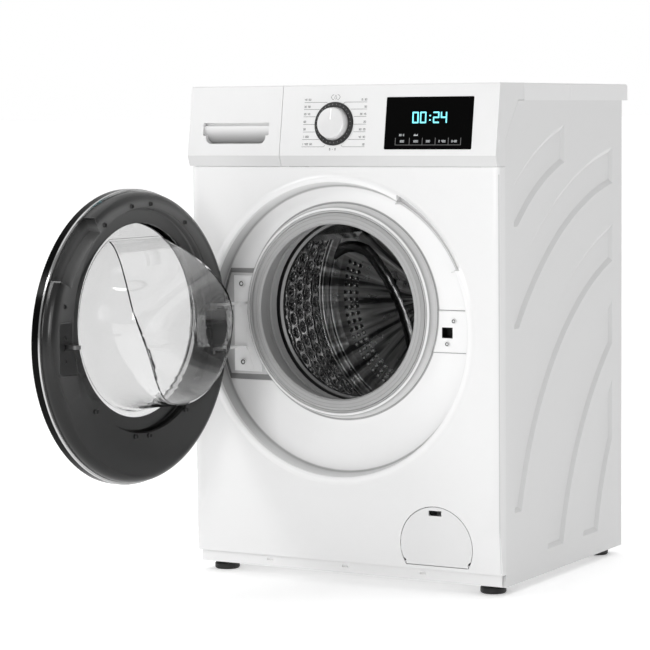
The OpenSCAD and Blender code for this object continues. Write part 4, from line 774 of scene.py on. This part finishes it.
def drum_wall():
    """The drum's wall: one cell of dimple and hole in each row and column, and a plain margin at each end."""
    radius = SHELL_HIGH.x - AXIS.x - 0.0007
    front, back = SHELL_LOW.y, SHELL_HIGH.y
    first = FACE + FRONT_MARGIN
    pitch = (back - BACK_MARGIN - first) / DIMPLE_COLUMNS
    end = first + DIMPLE_COLUMNS * pitch
    half_a, half_y = math.pi / DIMPLE_ROWS, pitch / 2
    rim = square_rim(5)
    n = len(rim)
    verts, faces = [], []

    def cell(a0, y0):
        """A square of the wall round one hole."""
        base = len(verts)
        points = [(u, w, 0.0) for u, w in rim]
        for r, lift in DIMPLE:
            for u, w in rim:
                t = math.atan2(w, u)
                points.append((math.cos(t) * r / (half_a * radius), math.sin(t) * r / half_y, lift))
        for u, w, lift in points:
            a, r = a0 + u * half_a, radius + lift
            verts.append((AXIS.x + r * math.cos(a), y0 + w * half_y, AXIS.z + r * math.sin(a)))
        for p in range(base, base + len(DIMPLE) * n, n):
            for k in range(n):
                after = (k + 1) % n
                faces.append((p + k, p + n + k, p + n + after, p + after))

    for column in range(DIMPLE_COLUMNS):
        for row in range(DIMPLE_ROWS):
            cell(2 * half_a * (row - column / 3) + math.radians(0.9), first + pitch * (column + 0.5))
    for profile in ([(radius, front), (radius, front + 0.004), (radius, first)],
                    [(radius, end), (radius - 0.0006, back - 0.0065), (radius - 0.003, back - 0.003),
                     (radius - 0.007, back)]):
        margin, margin_faces = lathe(profile, DIMPLE_ROWS * 5)
        base = len(verts)
        verts += margin
        faces += [tuple(base + i for i in f) for f in margin_faces]
    obj = piece("drum_wall", verts, faces, M["dimpled"], "drum", weld=True)
    sheet = obj.modifiers.new("sheet", "SOLIDIFY")
    sheet.thickness = SHEET
    sheet.offset = 0
    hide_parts("drum_shell")


drum_wall()


# ---------- marks on the control panel ----------

# Height, ends of the left and right rule, and numbers on them, in millimetres
DIAL_ROWS = [
    (820.6, (-68.3, -25.5), (9.9, 52.3), "40 60", "15 30"),
    (808.8, (-68.6, -38.7), (22.9, 52.8), "30 90", "90"),
    (796.5, (-68.4, -44.1), (29.4, 52.4), "20 40", "30 45"),
    (783.5, (-68.1, -44.9), (29.1, 52.8), "60", "20"),
    (770.8, (-67.9, -43.9), (30.1, 52.6), "30", "60 20"),
    (758.1, (-68.5, -36.1), (21.0, 52.7), "1 200", "40 30"),
    (745.8, (-68.7, -26.7), (10.6, 52.7), "1 400 60", "30"),
]
RULE_WIDTH = 0.55
TEXT_HIGH = 2.9
# How far the first and the last row's rules bend towards the dial
BEND_ACROSS = 2.7
BENDS = {0: -2.2, len(DIAL_ROWS) - 1: 2.2}


def panel_marks():
    """Rules with small numbers on both sides of the dial, and a sign over it."""
    skin = surface("control_panel")
    m = Marks(lambda x, z: drop(skin, at(x, -60, z)))
    for k, (z, (a, b), (c, d), left_text, right_text) in enumerate(DIAL_ROWS):
        left, right = [(a, z), (b, z)], [(c, z), (d, z)]
        if k in BENDS:
            left.append((b + BEND_ACROSS, z + BENDS[k]))
            right.insert(0, (c - BEND_ACROSS, z + BENDS[k]))
        m.stroke(left, RULE_WIDTH)
        m.stroke(right, RULE_WIDTH)
        m.number(left_text, a + 0.3, z + 3.1, TEXT_HIGH, 0.5)
        wide = len(right_text) * TEXT_HIGH * (Marks.wide + Marks.space) - 0.8
        m.number(right_text, d - wide - 0.3, z + 2.6, TEXT_HIGH, 0.5)
    # Sign above the dial: a drop between two brackets
    x, z = -8.5, 829.2
    bracket = ((3.6, 3.9), (6.2, 3.6), (8.8, 0), (6.2, -3.6), (3.6, -3.9))
    for s in (-1, 1):
        m.stroke([(x + s * a, z + b) for a, b in bracket], 0.6)
    angles = [i * math.pi / 6 for i in range(-4, 5)]
    round_end = [(x + 2.1 * math.sin(t), z - 1.1 - 2.1 * math.cos(t)) for t in angles]
    m.stroke(round_end + [(x, z + 3.6), round_end[0]], 0.5)
    m.number("0 - 0", -14.6, 740.2, 3.0, 0.55)
    m.make("panel_marks", M["print"], "cabinet")


def display_marks():
    """Large lit digits over a row of touch keys with small numbers."""
    skin = surface("display_window")
    m = Marks(lambda x, z: drop(skin, at(x, -60, z)))
    lit, pale, dim = range(3)
    high, width, slant = 16.6, 2.3, -0.25
    m.number("00", 141.6, 785.6, high, width, lit, slant)
    m.colon(173.2, 785.0, high, width, lit)
    m.number("24", 180.0, 785.6, high, width, lit, slant)
    m.number("88 8", 117.6, 763.6, 2.8, 0.6, pale)
    m.fill([(144, 763.6), (147, 767), (149, 764.5), (152, 767), (152.4, 763.6)], pale)
    cells = [110.8, 137.1, 161.2, 185.3, 209.5, 232.3]
    foot, top = 748.6, 760
    for c in cells:
        m.stroke([(c, top), (c, foot)], 1.0, dim)
    m.stroke([(cells[0], foot), (cells[-1], foot)], 0.8, dim)
    for text, x in (("800", 120.0), ("1200", 143.6), ("300", 168.4), ("2 400", 191.8), ("3-60", 215.4)):
        m.number(text, x, 753.2, 3.0, 0.7, pale)
    m.make("display_marks", [M["cyan"], M["pale"], M["dim"]], "cabinet")


panel_marks()
display_marks()


# ---------- dial: pointer line and notches ----------

KNOB = Vector(JOINTS["selector_turn"]["pos_m"])
# Out of the panel's face, and up along it
OUT = Vector(JOINTS["selector_turn"]["axis"]).normalized()
if OUT.y > 0:
    OUT = -OUT
UPFACE = OUT.cross(ACROSS).normalized()
if UPFACE.z < 0:
    UPFACE = -UPFACE


def over_dial(a, b, high=0.08):
    """A point over the dial: a and b are millimetres across and up from its middle, and high is in metres."""
    return KNOB + ACROSS * a / 1000 + UPFACE * b / 1000 + OUT * high


def pointer_line():
    """The pale line on the knob's flat end, painted with a faint glow though it is no lamp."""
    cap = (drop(surface("selector_knob"), over_dial(0, 5), 0.00015, -OUT) - KNOB).dot(OUT)
    line = Marks(lambda a, b: over_dial(a, b, cap))
    line.fill([(-0.9, 5.5), (0.9, 5.5), (0.9, 23.6), (-0.9, 23.6)])
    line.make("pointer_line", M["white_line"], "selector")


def dial_notches(count=28, inner=31.6, outer=33.6, half=0.35):
    """Short marks round the ring behind the knob."""
    skin = surface("selector_ring")
    ticks = Marks(lambda a, b: drop(skin, over_dial(a, b), 0.0002, -OUT))
    for k in range(count):
        t = math.radians(360 * k / count + 6)
        c, s = math.cos(t), math.sin(t)
        ticks.fill([(r * c - w * s, r * s + w * c)
                    for r, w in ((inner, half), (inner, -half), (outer, -half), (outer, half))])
    ticks.make("dial_notches", M["notch"], "cabinet")


pointer_line()
dial_notches()


# ---------- drum back: holes and ridges ----------

BACK = surface("drum_back")
SECTORS = (0, 120, 240)


def back_holes():
    """Small flanged holes in three arcs near the rim of each pressed sector, with painted openings: dark as
    the shade in the holes, pale as light seen through some of them.
    """
    holes = Discs()
    flange = [(0.0050, 0.0), (0.0042, 0.0010), (0.0031, 0.0003), (0.0024, 0.0003)]
    # Inks: the flange, painted shade in the hole, painted light through the hole
    rim, dark, pale = range(3)
    for radius in (0.1715, 0.1835, 0.1955):
        for step in range(20):
            for turn_by in SECTORS:
                start = turn(161.6 + 4.25 * step + turn_by, radius, SHELL_LOW.y)
                hit, normal, _, _ = BACK.ray_cast(start, FRONT)
                if hit is None or abs(normal.y) <= 0.9:
                    continue
                if normal.y > 0:
                    normal = -normal
                # Painted light: the later holes of the first sector take the pale tub plastic, standing in
                # for light seen through them; the rest are painted dark as shade
                painted_hole_tone = pale if step > 9 and turn_by == 0 else dark
                holes.add(hit, normal, ACROSS, flange, [rim, rim, dark, painted_hole_tone])
    holes.make("back_holes", [M["chrome"], M["hole_shade_ink"], M["tub"]], "drum", "stainless")


# Radius and angle along one side of the first sector, up to its middle
STAR_SIDE = [(0.221, 163.0), (0.209, 159.0), (0.199, 156.5), (0.185, 154.6), (0.168, 153.6), (0.152, 155.4),
             (0.137, 158.7), (0.115, 165.3), (0.098, 176.0), (0.088, 188.0), (0.084, 202.0)]
STAR_MIDDLE = STAR_SIDE[-1][1]
# Distance outwards and depth across a ridge
STAR_SECTION = [(0.0, 0.004), (0.0, -0.002), (0.0022, -0.0046), (0.006, -0.0058), (0.012, -0.0058),
                (0.017, -0.0046), (0.021, -0.0016), (0.022, 0.004)]


def star_rims():
    """Rounded ridges along the edges of the three pressed sectors of the drum's back, painted darker as their
    shade and dark reflection.
    """
    edge = STAR_SIDE + [(r, 2 * STAR_MIDDLE - a) for r, a in reversed(STAR_SIDE[:-1])]
    fine = []
    for (r0, a0), (r1, a1) in zip(edge, edge[1:]):
        fine += [(r0 + (r1 - r0) * t / 6, a0 + (a1 - a0) * t / 6) for t in range(6)]
    fine.append(edge[-1])
    flat = BACK.ray_cast(turn(262, 0.13, SHELL_LOW.y), FRONT)[0].y
    n, rows = len(STAR_SECTION), len(fine)
    verts, faces = [], []
    for turn_by in SECTORS:
        base = len(verts)
        points = [turn(a + turn_by, r, 0) for r, a in fine]
        heart = turn(STAR_MIDDLE + turn_by, 0.14, 0)
        for i, p in enumerate(points):
            along = (points[min(i + 1, rows - 1)] - points[max(i - 1, 0)]).normalized()
            out = Vector((along.z, 0, -along.x))
            if out.dot(p - heart) < 0:
                out = -out
            for w, h in STAR_SECTION:
                spot = p + out * w
                spot.y = flat + h
                verts.append(spot)
        faces += strips(n, rows, base=base)
        faces += [tuple(range(start, start + n)) for start in (base, base + (rows - 1) * n)]
    piece("star_rims", verts, faces, M["star_ridge_steel_painted_shade"], "drum")


back_holes()
star_rims()


# ---------- details on the open door ----------

# Depth of the frame's inner face in the door, and a depth clear of everything on it
FRAME_FACE, CLEAR_OF_FRAME = 34, 120


def latch_rim():
    """The raised line round the latch plate, on the frame's inner face."""
    path = rounded_path([(427, 479), (430, 474.5, 2), (456.5, 474.5, 8), (456.5, 389.5, 8), (413, 387)], 4)
    verts, faces = bead(path, 3.2, 0.8, lambda u, z, lift: door(u, FRAME_FACE + lift * 1000, z))
    piece("latch_rim", verts, faces, M["black"], "door")


def middles(node, reach):
    """Each group of a node's points that lie within reach of one of them, with the group's middle."""
    left = [v.co for v in NODES[node].data.vertices]
    while left:
        near = [v for v in left if (v - left[0]).length < reach]
        left = [v for v in left if v not in near]
        yield near, sum(near, Vector()) / len(near)


def latch_screws():
    """Screws of the latch plate, and rings with driver recesses on the heads of the door's screws; the
    recesses are shallow and painted dark as their shade.
    """
    skin = surface("door_frame", "latch_plate")
    screws = Discs()
    for u, z in ((441, 499.5), (441, 449.5), (441, 412.5)):
        screws.add(drop(skin, door(u, CLEAR_OF_FRAME, z), 0.0, -INWARD), INWARD, UP,
                   [(0.0036, 0.0), (0.0032, 0.0011), (0.0022, 0.0012), (0.0018, 0.0004)], [0, 0, 1, 1])
    for points, middle in middles("door_screws", 0.014):
        middle += INWARD * (max(v.dot(INWARD) for v in points) - middle.dot(INWARD))
        screws.add(middle, INWARD, UP,
                   [(0.0041, -0.0004), (0.0036, 0.0005), (0.0030, 0.0005), (0.0024, 0.0001)], [0, 0, 1, 1])
    screws.make("latch_screws", [M["blackened"], M["hole_shade_ink"]], "door", "zinc_steel")


latch_rim()
latch_screws()


# ---------- gasket, collar, lock pad and hinge bracket ----------

GASKET_SKIN = surface("door_gasket")
PLATE_SKIN = surface("front_plate")


def ring_line(name, skin, radius, width, height, material, steps=240):
    """A thin raised line that runs round the loading opening."""
    section = [(-0.5, -0.3), (-0.35, 0.8), (0.35, 0.8), (0.5, -0.3)]
    verts = []
    for i in range(steps):
        for w, h in section:
            hit = skin.ray_cast(turn(360 * i / steps, radius + w * width, FACE - 0.03), FRONT)[0]
            verts.append(hit - FRONT * h * height)
    piece(name, verts, strips(len(section), steps, closed=True), material, "cabinet")


def raised_line(name, path, width, height, material, skin, y):
    """A thin raised line through points of x and z in millimetres, dropped on a surface from the depth y."""
    verts, faces = bead(path, width, height, lambda x, z, lift: drop(skin, at(x, y, z), lift, FRONT))
    piece(name, verts, faces, material, "cabinet")


def screw_heads():
    """Rings and driver recesses on the four screws that show on the front; the shallow recess ring is painted
    dark as its shade.
    """
    corners = [v.co for v in NODES["front_screws"].data.vertices]
    heads = Discs()
    for x, z, r in ((0.2034, 0.4555, 0.0044), (0.191, 0.4168, 0.0044), (-0.214, 0.5075, 0.006),
                    (-0.212, 0.3705, 0.006)):
        y = min(v.y for v in corners if abs(v.x - x) < 0.008 and abs(v.z - z) < 0.008)
        heads.add(Vector((x, y, z)), -FRONT, UP,
                  [(0.98 * r, -0.0005), (0.72 * r, 0.0004), (0.66 * r, 0.0001), (0.44 * r, 0.0001),
                   (0.4 * r, 0.0003)], [0, 1, 1, 0, 0])
    heads.make("screw_heads", [M["silver"], M["hole_shade_ink"]], "cabinet", "zinc_steel")


ring_line("gasket_line_outer", GASKET_SKIN, 0.1635, 0.0009, 0.0003, M["seam"])
ring_line("gasket_line_inner", GASKET_SKIN, 0.1575, 0.0007, 0.0003, M["seam"])
# Painted shadow: a grey line at the foot of the collar
ring_line("collar_foot_shadow", PLATE_SKIN, 0.1845, 0.0016, 0.0002, M["seam"])
ring_line("gasket_clamp", PLATE_SKIN, 0.1722, 0.0011, 0.0006, M["steel"])

# Lines at the lock pad's lower and upper edges: partly the pad's real joint, partly painted shadow at its
# foot
raised_line("pad_seam_shadow_low", [(x, 401.9) for x in range(164, 229, 2)], 1.5, 0.25, M["seam"],
            PLATE_SKIN, -5)
raised_line("pad_seam_shadow_top", [(x, 473.2) for x in range(175, 228, 2)], 1.5, 0.25, M["seam"],
            PLATE_SKIN, -5)
raised_line("plate_edge_line", [(295.2, z) for z in range(40, 701, 10)], 1.6, 0.12, M["soft_seam"],
            PLATE_SKIN, -15)
screw_heads()
BRACKET_EDGE = [(-224, 519), (-199, 519, 6), (-204, 477, 6), (-207, 425, 12), (-204, 388, 12), (-192, 358, 6),
                (-204, 355)]
raised_line("bracket_rib", rounded_path(BRACKET_EDGE, 6), 2.4, 0.5, M["bracket"],
            surface("hinge_bracket", "front_plate"), 0)


# ---------- floor ----------

FLOOR_HALF = 400
corners = [(x * FLOOR_HALF, y * FLOOR_HALF, 0) for x, y in ((-1, -1), (1, -1), (1, 1), (-1, 1))]
floor_mesh = bpy.data.meshes.new("floor")
floor_mesh.from_pydata(corners, [], [(0, 1, 2, 3)])
floor_mesh.materials.append(M["floor"])
floor = add_object("floor", floor_mesh)
